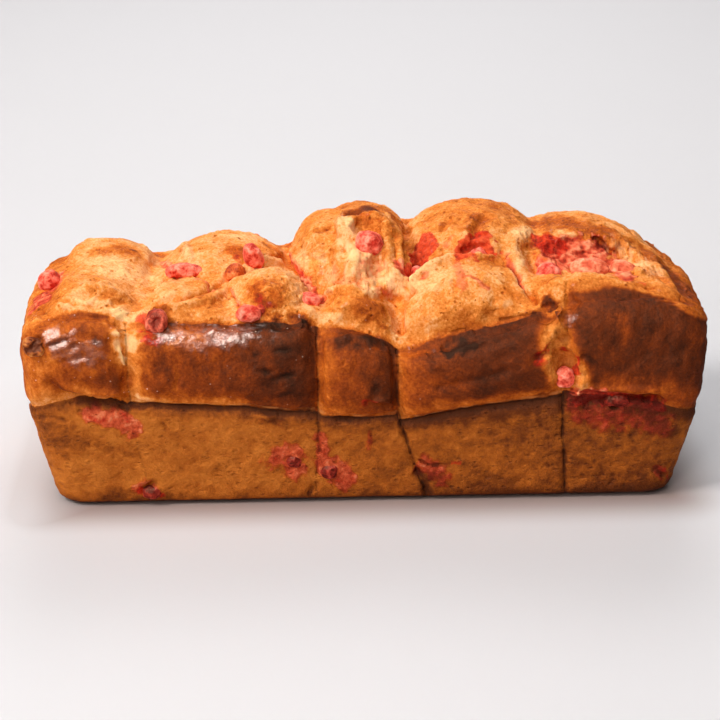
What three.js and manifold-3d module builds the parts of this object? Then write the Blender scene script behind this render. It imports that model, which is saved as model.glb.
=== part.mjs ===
// Praline brioche: five pieces of rich dough set side by side in a low mould and baked into one loaf.
// Below the lip the mould kept the sides straight and pale. Above it each piece swelled over the edge as a
// dark pillow, and tore open on top into lobes, folds and craters that hold pink sugared almonds.
// Millimetres, +Z up. X runs along the loaf, the front faces -Y, and Z = 0 is the flat foot.
import * as THREE from "three";
import { mergeVertices } from "three/addons/utils/BufferGeometryUtils.js";
import Module from "manifold-3d";

// Driving dimensions
const LOAF_LENGTH = 278;
const LOAF_WIDTH = 112;
const FOOT_LENGTH = 256;
const FOOT_WIDTH = 92;
const FOOT_EDGE = 3.5; // radius where the sides turn under
const CORNER = 13; // radius of the mould's upright corners
const RIM_LENGTH = 274;
const RIM_WIDTH = 104;
const RIM_HEIGHT = 42; // the lip's mean height, as deep as the mould was
const LIP_TUCK = 0.05; // the pillows narrow by this share towards the lip
const REAR_FALL = 8; // the pillows are this much lower at the rear
const DOUGH_OVERLAP = 1.8; // how far neighbouring pieces have grown into each other
const PRALINE_GAP = 0.35; // the sugar shrinks away from the crumb as it cools
const SEAM_WIDTH = 1.6;
const SEAM_DEPTH = 1.8;

// The five pieces, from left to right: where each starts and ends along the front, and the heights of its
// lower lip and of its upper shoulder at its left end, middle and right end.
const PIECES = [
  { from: -LOAF_LENGTH / 2, to: -95.5, lip: [43, 51, 47], shoulder: [85, 89.5, 87] },
  { from: -95.5, to: -20, lip: [48.5, 47, 43], shoulder: [86, 84.5, 85.5] },
  { from: -20, to: 12, lip: [42.3, 41, 42], shoulder: [82.5, 80.5, 74] },
  { from: 12, to: 79, lip: [38.5, 45, 49], shoulder: [72, 79, 93] },
  { from: 79, to: LOAF_LENGTH / 2, lip: [50.5, 46.5, 38.5], shoulder: [93, 94.5, 87] },
];

// The lobes that the pieces rose into: centre, half sizes, and turns in degrees about Y and Z.
const LOBES = [
  { name: "left back", at: [-109, 12, 62], half: [30, 43, 29.5] },
  { name: "left middle back", at: [-57, 12, 62], half: [32, 43, 32.5] },
  { name: "bun", at: [-1, 13, 66], half: [25, 41, 42], lean: 3 },
  { name: "bun's left side", at: [-13, 14, 64], half: [19, 38, 41] },
  { name: "bun's front", at: [1, -13, 62], half: [21, 25, 38] },
  { name: "right middle back", at: [48, 13, 64], half: [37, 41, 44] },
  { name: "right back", at: [90, 9, 60], half: [41, 44, 42.5], lean: 7 },
  { name: "right end", at: [119, 2, 60], half: [20, 46, 28], lean: 5 },
  { name: "left front", at: [-113, -27, 62], half: [25, 26, 30] },
  { name: "dimpled front", at: [-73, -28, 61], half: [24, 25, 29], turn: 12 },
  { name: "caramel front", at: [-39, -27, 61], half: [20, 26, 34] },
  { name: "small front", at: [-3, -31, 60], half: [17, 22, 31] },
  { name: "fish front", at: [42, -27, 64], half: [32, 27, 32], turn: 6 },
  { name: "left rear", at: [-84, 33, 60], half: [34, 22, 21] },
  { name: "middle rear", at: [-26, 34, 60], half: [22, 20, 24] },
  { name: "right rear", at: [22, 34, 62], half: [22, 20, 32] },
  { name: "last rear", at: [88, 32, 60], half: [34, 22, 31], lean: 6 },
];

// The rolled edge of the bun's hollow, from the front up over its top and down the other side.
const BUN_EDGE = [
  [-9, -26, 87],
  [-9, -13, 98],
  [0, 3, 106],
  [10, -4, 103],
  [15, -18, 94],
  [13, -32, 83],
];
const BUN_EDGE_RADIUS = 4.5;

// The rolled edge of dough that fences the crater on the right, as the line that it follows.
const CRATER_EDGE = [
  [62, 4, 94],
  [61, -12, 92],
  [66, -27, 86],
  [80, -38, 88],
  [103, -41, 88],
  [122, -39, 84],
];
const CRATER_EDGE_RADIUS = 7;

// Where the crust tore: centre, half sizes, and turn about Y.
const TEARS = [
  { name: "crater", at: [90, -20, 101], half: [27, 16, 11.5], lean: 9 },
  { name: "bun hollow", at: [2, -10, 113], half: [9, 15, 12] },
  { name: "bun groove", at: [6, -27, 98], half: [7, 12, 9] },
  { name: "red slit", at: [23, -14, 98], half: [3.5, 6, 9], lean: 12 },
  { name: "red well", at: [46, -15, 101], half: [6, 5, 6] },
  { name: "long streak", at: [-25, -22, 95], half: [3, 16, 6], turn: -12 },
  { name: "small hole", at: [74, -41, 87], half: [3, 5, 4] },
  { name: "gap", at: [79, -58, 62], half: [4.5, 7, 13], lean: -22 },
  { name: "ragged band", at: [103, -56, 46.5], half: [19, 5.5, 3.5], lean: -2 },
  { name: "rear slit", at: [-44, 40, 88], half: [12, 5, 6], turn: 20 },
  { name: "rear crater", at: [58, 42, 101], half: [15, 9, 9], turn: -14 },
];

// The seams between the pieces on the moulded sides: where they leave the lip and where they reach the foot.
const FRONT_SEAMS = [
  { top: -95.5, foot: -88 },
  { top: -19.8, foot: -20.8 },
  { top: 11.8, foot: 25 },
  { top: 79, foot: 82.6 },
];
const REAR_SEAMS = [
  { top: -90, foot: -94 },
  { top: -23, foot: -19 },
  { top: 14, foot: 10 },
  { top: 75, foot: 79 },
];

// The pralines, each a broken almond in rough sugar: the side that it is seen from, its spot there (X and Y
// on the top, X and Z on the front and rear), how far its middle is sunk under the crust, half sizes, and
// turns in degrees about Z and Y.
const PRALINES = [
  { name: "praline_tall", side: "top", spot: [-45.5, -6], sunk: -3.4, half: [4, 4, 6.4], lean: -24 },
  { name: "praline_caramel", side: "top", spot: [-53, -13], sunk: 0.6, half: [4.6, 4, 4.4] },
  { name: "praline_long", side: "top", spot: [-74, -9], sunk: -1.8, half: [8.6, 3.8, 3.4], turn: 4 },
  { name: "praline_left", side: "top", spot: [-129, -12], sunk: 1, half: [5.2, 4.4, 4.4], lean: -35 },
  { name: "praline_ring", side: "front", spot: [-83, 83.5], sunk: 0.6, half: [4.6, 4.6, 5] },
  { name: "praline_burnt", side: "front", spot: [-131, 75], sunk: 1, half: [4.6, 4.6, 4.2] },
  { name: "praline_shoulder", side: "top", spot: [-47, -45], sunk: 1, half: [5.4, 3.6, 3.4] },
  { name: "praline_streak", side: "top", spot: [-23, -34], sunk: 0, half: [5, 3.6, 3.4], turn: -14 },
  { name: "praline_bun", side: "top", spot: [2, -14], sunk: -1.6, half: [6.2, 5.4, 6] },
  { name: "praline_slit", side: "top", spot: [22, -18], sunk: -0.4, half: [3.4, 3.4, 3.8] },
  { name: "praline_well", side: "top", spot: [47, -15], sunk: 0.6, half: [3.6, 3.6, 5] },
  { name: "praline_round", side: "top", spot: [75, -25], sunk: -0.8, half: [5.4, 5, 5] },
  { name: "praline_heap", side: "top", spot: [92, -23], sunk: -2.8, half: [8.5, 5.4, 4.4], lean: 5 },
  { name: "praline_trail", side: "top", spot: [106, -22], sunk: -2, half: [6, 4, 3.6], lean: 12 },
  { name: "praline_gap", side: "front", spot: [79.5, 57], sunk: 0, half: [3.8, 3.4, 4.4] },
  { name: "praline_band", side: "front", spot: [101, 46], sunk: 1, half: [5.4, 3.2, 2.8] },
  { name: "praline_wall", side: "front", spot: [-15.5, 15], sunk: 1.8, half: [4.4, 3, 4.2] },
  { name: "praline_speck", side: "front", spot: [-30, 20], sunk: 1.6, half: [3.4, 2.8, 3.4] },
  { name: "praline_foot", side: "front", spot: [-88.5, 6], sunk: 1.2, half: [4.6, 3, 3] },
  { name: "praline_rear_slit", side: "top", spot: [-44, 38], sunk: 0.4, half: [5.6, 4, 4] },
  { name: "praline_rear_crater", side: "top", spot: [56, 40], sunk: 0, half: [6.4, 5, 5] },
  { name: "praline_rear_edge", side: "rear", spot: [-101, 70], sunk: 0.6, half: [5, 4.2, 4.6] },
  { name: "praline_rear_wall", side: "rear", spot: [36, 24], sunk: 1.4, half: [4.4, 3, 4] },
];

// Colours, roughness and metalness of the two finishes
const CRUST = { color: 0xb9642a, roughness: 0.42, metalness: 0 };
const SUGAR = { color: 0xe0566a, roughness: 0.6, metalness: 0 };

const wasm = await Module();
wasm.setup();

// Turns a closed geometry into a solid that can be joined and cut.
function solidFrom(geometry) {
  const bare = geometry.clone();
  bare.deleteAttribute("normal");
  bare.deleteAttribute("uv");
  const merged = mergeVertices(bare, 1e-4);
  return new wasm.Manifold(
    new wasm.Mesh({
      numProp: 3,
      vertProperties: new Float32Array(merged.attributes.position.array),
      triVerts: new Uint32Array(merged.index.array),
    }),
  );
}

function geometryFrom(solid) {
  const mesh = solid.getMesh();
  const geometry = new THREE.BufferGeometry();
  geometry.setAttribute("position", new THREE.BufferAttribute(mesh.vertProperties, mesh.numProp));
  geometry.setIndex(new THREE.BufferAttribute(mesh.triVerts, 1));
  geometry.computeVertexNormals();
  return geometry;
}

// Repeatable random numbers from 0 to 1.
function seeded(seed) {
  let state = seed;
  return () => {
    state = (Math.imul(state, 1664525) + 1013904223) >>> 0;
    return state / 4294967296;
  };
}

// How far along a direction the surface |x|^p + |y|^q + |z|^r = 1 lies.
function reach(direction, powers) {
  let near = 0;
  let far = 1;
  for (let step = 0; step < 30; step += 1) {
    const middle = (near + far) / 2;
    const sum = direction.reduce((total, d, axis) => total + Math.abs(middle * d) ** powers[axis], 0);
    if (sum < 1) near = middle;
    else far = middle;
  }
  return near;
}

// A puffed block of unit half size: high powers give flat sides with round edges, and 2 gives a ball.
// powersAt may differ from side to side, so that one edge is sharper than another. A crowding over 1 moves
// the vertices towards the edges.
function puffed(grid, crowding, powersAt) {
  const geometry = new THREE.BoxGeometry(2, 2, 2, ...grid);
  return moveVertices(geometry, (...corner) => {
    const direction = corner.map((d) => Math.sign(d) * (1 - (1 - Math.abs(d)) ** crowding));
    const share = reach(direction, powersAt(direction));
    return direction.map((d) => d * share);
  });
}

function moveVertices(geometry, place) {
  const position = geometry.attributes.position;
  for (let i = 0; i < position.count; i += 1) {
    position.setXYZ(i, ...place(position.getX(i), position.getY(i), position.getZ(i)));
  }
  return geometry;
}

// Half of the mould's length and width at a height, without the rounded foot.
function mouldHalf(height) {
  const share = height / RIM_HEIGHT;
  return [
    THREE.MathUtils.lerp(FOOT_LENGTH, RIM_LENGTH, share) / 2,
    THREE.MathUtils.lerp(FOOT_WIDTH, RIM_WIDTH, share) / 2,
  ];
}

// The straight, pale part that the mould held, from the foot's soft edge up into the pillows.
function mouldedBlock() {
  const turns = 4; // vertices to a quarter turn of an upright corner
  const vertices = [];
  const faces = [];
  const edgeRows = [0, 30, 60, 90].map((degrees) => {
    const angle = THREE.MathUtils.degToRad(degrees);
    return { height: FOOT_EDGE * (1 - Math.cos(angle)), inset: FOOT_EDGE * (1 - Math.sin(angle)) };
  });
  const upperRows = [
    { height: RIM_HEIGHT, inset: 0 },
    { height: RIM_HEIGHT + 9, inset: 1 },
    { height: RIM_HEIGHT + 18, inset: 8 },
  ];
  const rows = [...edgeRows, ...upperRows];
  for (const { height, inset } of rows) {
    const [halfLength, halfWidth] = mouldHalf(height).map((half) => half - inset);
    for (const [signX, signY, quarter] of [[1, 1, 0], [-1, 1, 1], [-1, -1, 2], [1, -1, 3]]) {
      for (let turn = 0; turn <= turns; turn += 1) {
        const angle = ((quarter + turn / turns) * Math.PI) / 2;
        vertices.push(
          signX * (halfLength - CORNER) + CORNER * Math.cos(angle),
          signY * (halfWidth - CORNER) + CORNER * Math.sin(angle),
          height,
        );
      }
    }
  }
  const around = 4 * (turns + 1);
  for (let row = 0; row < rows.length - 1; row += 1) {
    for (let side = 0; side < around; side += 1) {
      const a = row * around + side;
      const b = row * around + ((side + 1) % around);
      faces.push(a, b, b + around, a, b + around, a + around);
    }
  }
  const lastRow = (rows.length - 1) * around;
  for (let side = 1; side < around - 1; side += 1) {
    faces.push(0, side + 1, side);
    faces.push(lastRow, lastRow + side, lastRow + side + 1);
  }
  const geometry = new THREE.BufferGeometry();
  geometry.setAttribute("position", new THREE.Float32BufferAttribute(vertices, 3));
  geometry.setIndex(faces);
  return geometry;
}

// The smooth curve through three values at 0, one half and 1.
function through([first, middle, last], share) {
  return (
    first * (1 - share) * (1 - 2 * share) +
    4 * middle * share * (1 - share) +
    last * share * (2 * share - 1)
  );
}

// One piece of dough above the lip, as wide as the loaf: tight edges against its neighbours, a crisp lower
// lip, and a rounder shoulder and outer end.
function pillow({ from, to, lip, shoulder }) {
  const first = from === PIECES[0].from;
  const last = to === PIECES.at(-1).to;
  const start = first ? from : from - DOUGH_OVERLAP / 2;
  const end = last ? to : to + DOUGH_OVERLAP / 2;
  const middle = (start + end) / 2;
  const isOuter = (x) => (first && x < 0) || (last && x > 0);
  const columns = 2 * Math.round((to - from) / 14) + 2;
  const dough = puffed([columns, 8, 6], 1.7, ([x, , z]) => [
    isOuter(x) ? 5 : 20,
    isOuter(x) ? 6 : 8,
    z > 0 ? 7 : 30,
  ]);
  return moveVertices(dough, (x, y, z) => {
    const along = (x + 1) / 2;
    const low = through(lip, along);
    const high = through(shoulder, along) - REAR_FALL * Math.max(0, y);
    const tuck = z < 0 ? 1 - LIP_TUCK * z ** 2 : 1;
    return [
      middle + (THREE.MathUtils.lerp(start, end, along) - middle) * (isOuter(x) ? tuck : 1),
      (y * LOAF_WIDTH * tuck) / 2,
      THREE.MathUtils.mapLinear(z, -1, 1, low, high),
    ];
  });
}

// A ball of dough or a tear, sized, turned and set in place.
function ball(shape, grid, power) {
  const { at, half, lean = 0, turn = 0 } = shape;
  return puffed(grid, 0.85, () => [power, power, power])
    .scale(...half)
    .rotateY(THREE.MathUtils.degToRad(lean))
    .rotateZ(THREE.MathUtils.degToRad(turn))
    .translate(...at);
}

// A rolled fold of dough along a line, tapering into the loaf at both ends.
function fold(points, radius) {
  const steps = 16;
  const sides = 8;
  const curve = new THREE.CatmullRomCurve3(points.map((p) => new THREE.Vector3(...p)));
  const frames = curve.computeFrenetFrames(steps);
  const vertices = [];
  const faces = [];
  for (let step = 0; step <= steps; step += 1) {
    const along = (2 * step) / steps - 1;
    const width = radius * Math.sqrt(Math.max(0.02, 1 - along ** 6));
    const centre = curve.getPointAt(step / steps);
    for (let side = 0; side < sides; side += 1) {
      const angle = (side / sides) * 2 * Math.PI;
      const out = frames.normals[step]
        .clone()
        .multiplyScalar(Math.cos(angle))
        .addScaledVector(frames.binormals[step], Math.sin(angle));
      vertices.push(...centre.clone().addScaledVector(out, width).toArray());
    }
  }
  for (let step = 0; step < steps; step += 1) {
    for (let side = 0; side < sides; side += 1) {
      const a = step * sides + side;
      const b = step * sides + ((side + 1) % sides);
      faces.push(a, b, a + sides, b, b + sides, a + sides);
    }
  }
  for (const [step, flip] of [[0, false], [steps, true]]) {
    const middle = vertices.length / 3;
    vertices.push(...curve.getPointAt(step / steps).toArray());
    for (let side = 0; side < sides; side += 1) {
      const a = step * sides + side;
      const b = step * sides + ((side + 1) % sides);
      faces.push(...(flip ? [a, b, middle] : [b, a, middle]));
    }
  }
  const geometry = new THREE.BufferGeometry();
  geometry.setAttribute("position", new THREE.Float32BufferAttribute(vertices, 3));
  geometry.setIndex(faces);
  return geometry;
}

// A shallow V cut that follows one seam down a moulded side. facing is -1 for the front and 1 for the rear.
function seamCut({ top, foot }, facing) {
  const high = RIM_HEIGHT + 5;
  const wedge = new THREE.CylinderGeometry(1, 1, high + 4, 4);
  wedge.rotateX(Math.PI / 2).translate(0, 0, high / 2);
  return moveVertices(wedge, (x, y, z) => {
    const [, halfWidth] = mouldHalf(z);
    return [
      THREE.MathUtils.lerp(foot, top, z / RIM_HEIGHT) + (x * SEAM_WIDTH) / 2,
      facing * halfWidth + y * SEAM_DEPTH,
      z,
    ];
  });
}

// Looks at the loaf from a praline's own side, and gives the praline with its middle set under the crust.
function seated(crust, praline) {
  const away = 3 * LOAF_WIDTH;
  const [across, other] = praline.spot;
  const [eye, gaze] = {
    top: [[across, other, away], [0, 0, -1]],
    front: [[across, -away, other], [0, 1, 0]],
    rear: [[across, away, other], [0, -1, 0]],
  }[praline.side];
  const direction = new THREE.Vector3(...gaze);
  const hits = new THREE.Raycaster(new THREE.Vector3(...eye), direction).intersectObject(crust);
  return { ...praline, at: hits[0].point.addScaledVector(direction, praline.sunk).toArray() };
}

// A broken praline: a ball whose vertices are pushed in and out at random.
function nugget(praline, index, extra) {
  const random = seeded(index + 11);
  const bumps = new Map();
  const rough = puffed([3, 3, 3], 0.85, () => [2.4, 2.4, 2.4]);
  moveVertices(rough, (x, y, z) => {
    const key = [x, y, z].map((v) => Math.round(v * 1000)).join(",");
    if (!bumps.has(key)) bumps.set(key, 0.84 + 0.22 * random());
    return [x, y, z].map((v, axis) => v * (bumps.get(key) * praline.half[axis] + extra));
  });
  return rough
    .rotateY(THREE.MathUtils.degToRad(praline.lean ?? 0))
    .rotateZ(THREE.MathUtils.degToRad(praline.turn ?? 0))
    .translate(...praline.at);
}

// Everything grown together, then torn and seamed.
function doughSolid() {
  const grown = [
    mouldedBlock(),
    ...PIECES.map(pillow),
    ...LOBES.map((lobe) => ball(lobe, [6, 6, 6], 2.3)),
    fold(BUN_EDGE, BUN_EDGE_RADIUS),
  ];
  const cuts = [
    ...TEARS.map((tear) => ball(tear, [4, 4, 4], 2.1)),
    ...FRONT_SEAMS.map((seam) => seamCut(seam, -1)),
    ...REAR_SEAMS.map((seam) => seamCut(seam, 1)),
  ];
  const joined = grown.map(solidFrom).reduce((whole, part) => whole.add(part));
  const torn = cuts.map(solidFrom).reduce((whole, cut) => whole.subtract(cut), joined);
  return torn.add(solidFrom(fold(CRATER_EDGE, CRATER_EDGE_RADIUS)));
}

// The outer skin alone, so that no pocket between the lobes stays closed in.
function outerSkin(solid) {
  return solid.decompose().reduce((largest, piece) => (piece.volume() > largest.volume() ? piece : largest));
}

function named(name, geometry, finish) {
  const mesh = new THREE.Mesh(geometry, new THREE.MeshStandardMaterial(finish));
  mesh.name = name;
  return mesh;
}

const dough = outerSkin(doughSolid());
const crust = new THREE.Mesh(geometryFrom(dough));
const pralines = PRALINES.map((praline) => seated(crust, praline));
const socketed = pralines.reduce(
  (loaf, praline, index) => loaf.subtract(solidFrom(nugget(praline, index, PRALINE_GAP))),
  dough,
);

const brioche = new THREE.Group();
brioche.add(named("loaf", geometryFrom(outerSkin(socketed)), CRUST));
pralines.forEach((praline, index) => {
  brioche.add(named(praline.name, nugget(praline, index, 0), SUGAR));
});

export default brioche;
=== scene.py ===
# %% [markdown]
# # A praline brioche
# Five pieces of rich dough were set side by side in a low mould and baked into one loaf. Below the lip the
# mould kept the sides straight and fairly pale. Above it each piece swelled over the edge as a dark, glossy
# pillow, and the top tore open into lobes, folds and craters that hold pink sugared almonds.
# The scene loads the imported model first. Its box is kept, because the finished bread has to stay inside it.

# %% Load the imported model
import itertools
import math

import bpy
import numpy as np
from mathutils import Euler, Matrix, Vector
from mathutils.bvhtree import BVHTree


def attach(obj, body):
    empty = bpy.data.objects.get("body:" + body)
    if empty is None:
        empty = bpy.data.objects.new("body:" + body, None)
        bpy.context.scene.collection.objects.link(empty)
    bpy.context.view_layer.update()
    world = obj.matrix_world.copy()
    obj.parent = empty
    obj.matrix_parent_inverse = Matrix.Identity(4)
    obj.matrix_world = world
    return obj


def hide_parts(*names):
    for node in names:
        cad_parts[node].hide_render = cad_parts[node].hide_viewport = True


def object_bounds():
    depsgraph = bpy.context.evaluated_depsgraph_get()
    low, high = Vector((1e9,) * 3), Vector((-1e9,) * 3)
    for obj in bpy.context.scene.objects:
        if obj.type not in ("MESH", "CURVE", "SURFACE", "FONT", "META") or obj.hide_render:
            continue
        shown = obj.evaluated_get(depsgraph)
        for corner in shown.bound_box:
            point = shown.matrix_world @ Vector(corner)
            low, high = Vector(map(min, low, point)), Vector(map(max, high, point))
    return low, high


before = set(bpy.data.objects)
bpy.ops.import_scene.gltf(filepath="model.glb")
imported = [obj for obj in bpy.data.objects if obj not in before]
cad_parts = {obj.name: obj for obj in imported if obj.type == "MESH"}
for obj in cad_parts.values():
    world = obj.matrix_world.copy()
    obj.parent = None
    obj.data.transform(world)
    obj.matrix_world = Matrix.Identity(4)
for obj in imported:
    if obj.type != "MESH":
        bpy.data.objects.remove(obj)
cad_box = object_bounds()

MM = 0.001  # sizes are written in millimetres, and Blender's unit is the metre
print("nodes:", len(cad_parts), " box:", [tuple(round(v, 4) for v in corner) for corner in cad_box])

# %% [markdown]
# An operator acts on all that is selected, so a few short helpers choose one piece at a time, apply its place
# to its mesh, and add a modifier and apply it. Two more read and write a mesh's points as one numpy array in
# millimetres, which is how the dough is sculpted further down.


# %% Helpers for pieces and their points
def deselect_all():
    if bpy.context.mode != "OBJECT":
        bpy.ops.object.mode_set(mode="OBJECT")
    bpy.ops.object.select_all(action="DESELECT")


def choose(*pieces):
    deselect_all()
    for piece in pieces:
        piece.select_set(True)
    bpy.context.view_layer.objects.active = pieces[0]


def apply_place(piece):
    choose(piece)
    bpy.ops.object.transform_apply(location=True, rotation=True, scale=True)


def apply_modifier(piece, kind, **settings):
    modifier = piece.modifiers.new(kind.title(), kind)
    for setting, value in settings.items():
        setattr(modifier, setting, value)
    choose(piece)
    bpy.ops.object.modifier_apply(modifier=modifier.name)


def join_pieces(name, pieces):
    choose(*pieces)
    bpy.ops.object.join()
    pieces[0].name = name
    return pieces[0]


def points_of(piece):
    flat = np.empty(3 * len(piece.data.vertices))
    piece.data.vertices.foreach_get("co", flat)
    return flat.reshape(-1, 3) / MM


def move_points(piece, points):
    piece.data.vertices.foreach_set("co", (points * MM).ravel())
    piece.data.update()


def outward(piece):
    flat = np.empty(3 * len(piece.data.vertices))
    piece.data.vertex_normals.foreach_get("vector", flat)
    return flat.reshape(-1, 3)


def keep_numbers(piece, name, values):
    """Keeps one number at each point of a piece, for its material to read."""
    attribute = piece.data.attributes.new(name, "FLOAT", "POINT")
    attribute.data.foreach_set("value", values.astype(np.float32))


def ease(low, high, value):
    """0 up to low and 1 from high on, with a soft step between them."""
    share = np.clip((value - low) / (high - low), 0, 1)
    return share * share * (3 - 2 * share)


# %% [markdown]
# A material is a tree of nodes. Each of these helpers makes one node or a few, and is named for what it does,
# so that a material reads like a recipe. The patterns lie on the piece's own place, so they stay on it in
# every view, and their sizes are in millimetres.

# %% Helpers for the nodes of a material
ASKEW = (0.6, 0.4, 0.8)  # turns the noise's grid, so that no straight face of the loaf lines up with it


def srgb(red_level, green_level, blue_level):
    """A colour as a picture shows it, from 0 to 255, as the linear numbers that a shader takes."""
    levels = np.array([red_level, green_level, blue_level]) / 255
    linear = np.where(levels < 0.04045, levels / 12.92, ((levels + 0.055) / 1.055) ** 2.4)
    return (*linear, 1)


def new_material(name):
    """A material with its tree of nodes and its main shader."""
    material = bpy.data.materials.new(name)
    material.use_nodes = True
    tree = material.node_tree
    return material, tree, tree.nodes["Principled BSDF"]


def node(tree, kind, inputs=None, **settings):
    made = tree.nodes.new("ShaderNode" + kind)
    for setting, value in settings.items():
        setattr(made, setting, value)
    for socket, value in (inputs or {}).items():
        if isinstance(value, bpy.types.NodeSocket):
            tree.links.new(value, made.inputs[socket])
        else:
            made.inputs[socket].default_value = value
    return made


def kept(tree, name):
    """A number that is kept at each point of the piece."""
    return node(tree, "Attribute", attribute_name=name).outputs["Fac"]


def place_of(tree, stretch=(1, 1, 1), lean=0.0):
    """The place on the piece: leaned sideways, then stretched, then turned askew."""
    place = node(tree, "TexCoord").outputs["Object"]
    leaned = node(tree, "VectorRotate", {"Vector": place, "Angle": lean}, rotation_type="Y_AXIS")
    inputs = {"Vector": leaned.outputs["Vector"], "Scale": stretch, "Rotation": ASKEW}
    return node(tree, "Mapping", inputs).outputs["Vector"]


def grain(tree, size, detail=3, stretch=(1, 1, 1), lean=0.0, roughness=0.55):
    """Noise from 0 to 1 whose patches are size millimetres wide."""
    inputs = {
        "Vector": place_of(tree, stretch, lean),
        "Scale": 1 / (size * MM),
        "Detail": detail,
        "Roughness": roughness,
    }
    return node(tree, "TexNoise", inputs).outputs["Fac"]


def dots(tree, spacing, radius, share, stretch=(1, 1, 1)):
    """Soft dots, 1 in the middle and 0 outside, in the given share of cells. Sizes are in millimetres."""
    inputs = {"Vector": place_of(tree, stretch), "Scale": 1 / (spacing * MM)}
    cells = node(tree, "TexVoronoi", inputs)
    number = node(tree, "SeparateColor", {"Color": cells.outputs["Color"]}).outputs[0]
    chosen = sums(tree, "LESS_THAN", number, share)
    disc = fade(tree, cells.outputs["Distance"], 0.2 * radius / spacing, radius / spacing, 1, 0)
    return sums(tree, "MULTIPLY", disc, chosen)


def sums(tree, operation, a, b=0.0, c=0.0):
    return node(tree, "Math", {0: a, 1: b, 2: c}, operation=operation).outputs[0]


def scaled(tree, value, factor, offset=0.0):
    return sums(tree, "MULTIPLY_ADD", value, factor, offset)


def total(tree, *values):
    result = values[0]
    for value in values[1:]:
        result = sums(tree, "ADD", result, value)
    return result


def product(tree, *values):
    result = values[0]
    for value in values[1:]:
        result = sums(tree, "MULTIPLY", result, value)
    return result


def fade(tree, value, low, high, start=0.0, end=1.0):
    inputs = {"Value": value, "From Min": low, "From Max": high, "To Min": start, "To Max": end}
    return node(tree, "MapRange", inputs, interpolation_type="SMOOTHSTEP").outputs[0]


def hump(tree, value, middle, width):
    """1 where the value is at the middle, falling softly to 0 at width on both sides."""
    away = sums(tree, "ABSOLUTE", sums(tree, "SUBTRACT", value, middle))
    return fade(tree, away, 0, width, 1, 0)


def either(tree, share, a, b):
    """The number a where the share is 0 and b where it is 1."""
    return node(tree, "Mix", {0: share, 2: a, 3: b}, data_type="FLOAT").outputs[0]


def blend_colours(tree, share, a, b, way="MIX"):
    return node(tree, "Mix", {0: share, 6: a, 7: b}, data_type="RGBA", blend_type=way).outputs[2]


def colour_ramp(tree, share, stops):
    ramp = node(tree, "ValToRGB", {"Fac": share})
    elements = ramp.color_ramp.elements
    while len(elements) < len(stops):
        elements.new(0.5)
    for element, (position, colour) in zip(elements, stops):
        element.position = position
        element.color = colour
    return ramp.outputs["Color"]


# %% [markdown]
# ## Driving sizes
# The whole bread follows from a few sizes in millimetres. The mould was a little smaller at its foot than at
# its rim, and the dough swelled out over the rim, so length and width are given three times.

# %% Driving sizes
LOAF_LENGTH = 278
LOAF_WIDTH = 112
FOOT_LENGTH = 256
FOOT_WIDTH = 92
FOOT_EDGE = 3.5
CORNER = 13
RIM_LENGTH = 274
RIM_WIDTH = 104
RIM_HEIGHT = 42
LIP_TUCK = 0.05  # the pillows narrow by this share towards the lip
REAR_FALL = 8  # the pillows are this much lower at the rear
PILLOW_HEIGHT = 40  # from lip to shoulder, about
DOUGH_OVERLAP = 1.8  # how far neighbouring pieces have grown into each other
print("loaf:", LOAF_LENGTH, "x", LOAF_WIDTH, "mm on a foot of", FOOT_LENGTH, "x", FOOT_WIDTH, "mm")

# %% [markdown]
# ## Camera, floor and light
# The photograph was taken with a short tele lens from a little above, almost square on to the front. The
# camera comes first, because some details are placed by the pixel of the photograph that shows them.

# %% The photograph's camera
PHOTO_SIDE = 720  # pixels
LENS = 91
SENSOR = 36
AIM = Vector((-1, 0, 44)) * MM
CAMERA_AWAY = 780 * MM
CAMERA_TURN = math.radians(-2.3)
CAMERA_RISE = math.radians(23)

camera_back = Vector(
    (
        math.sin(CAMERA_TURN) * math.cos(CAMERA_RISE),
        -math.cos(CAMERA_TURN) * math.cos(CAMERA_RISE),
        math.sin(CAMERA_RISE),
    )
)
deselect_all()
bpy.ops.object.camera_add(
    location=AIM + camera_back * CAMERA_AWAY,
    rotation=(-camera_back).to_track_quat("-Z", "Y").to_euler(),
)
camera = bpy.context.object
camera.data.lens = LENS
camera.data.sensor_width = SENSOR
bpy.context.scene.camera = camera
bpy.context.view_layer.update()
print("camera at", tuple(round(v, 3) for v in camera.location))


# %% A pale floor
FLOOR_SIDE = 8
FLOOR_DROP = 0.3 * MM  # just under the foot, so that the two faces don't flicker

deselect_all()
bpy.ops.mesh.primitive_plane_add(size=FLOOR_SIDE, location=(0, 0, -FLOOR_DROP))
floor = bpy.context.object
floor.name = "floor"
pale_floor, floor_tree, floor_shader = new_material("pale floor")
floor_shader.inputs["Roughness"].default_value = 0.6
floor.data.materials.append(pale_floor)
floor.visible_glossy = False  # the crust doesn't mirror the floor, which would veil its dark browns


# %% The floor's shade close to the foot
FAR_FLOOR = (0.555, 0.54, 0.55, 1)
NEAR_FLOOR = (0.27, 0.2, 0.18, 1)
FOOT_SHADE = 26  # how far the shade reaches out from the foot
FOOT_RIM = 3  # the darkest line, right at the foot
LIT_END = (-142, -108)  # along the loaf, where the light from the left takes the shade away


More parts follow.
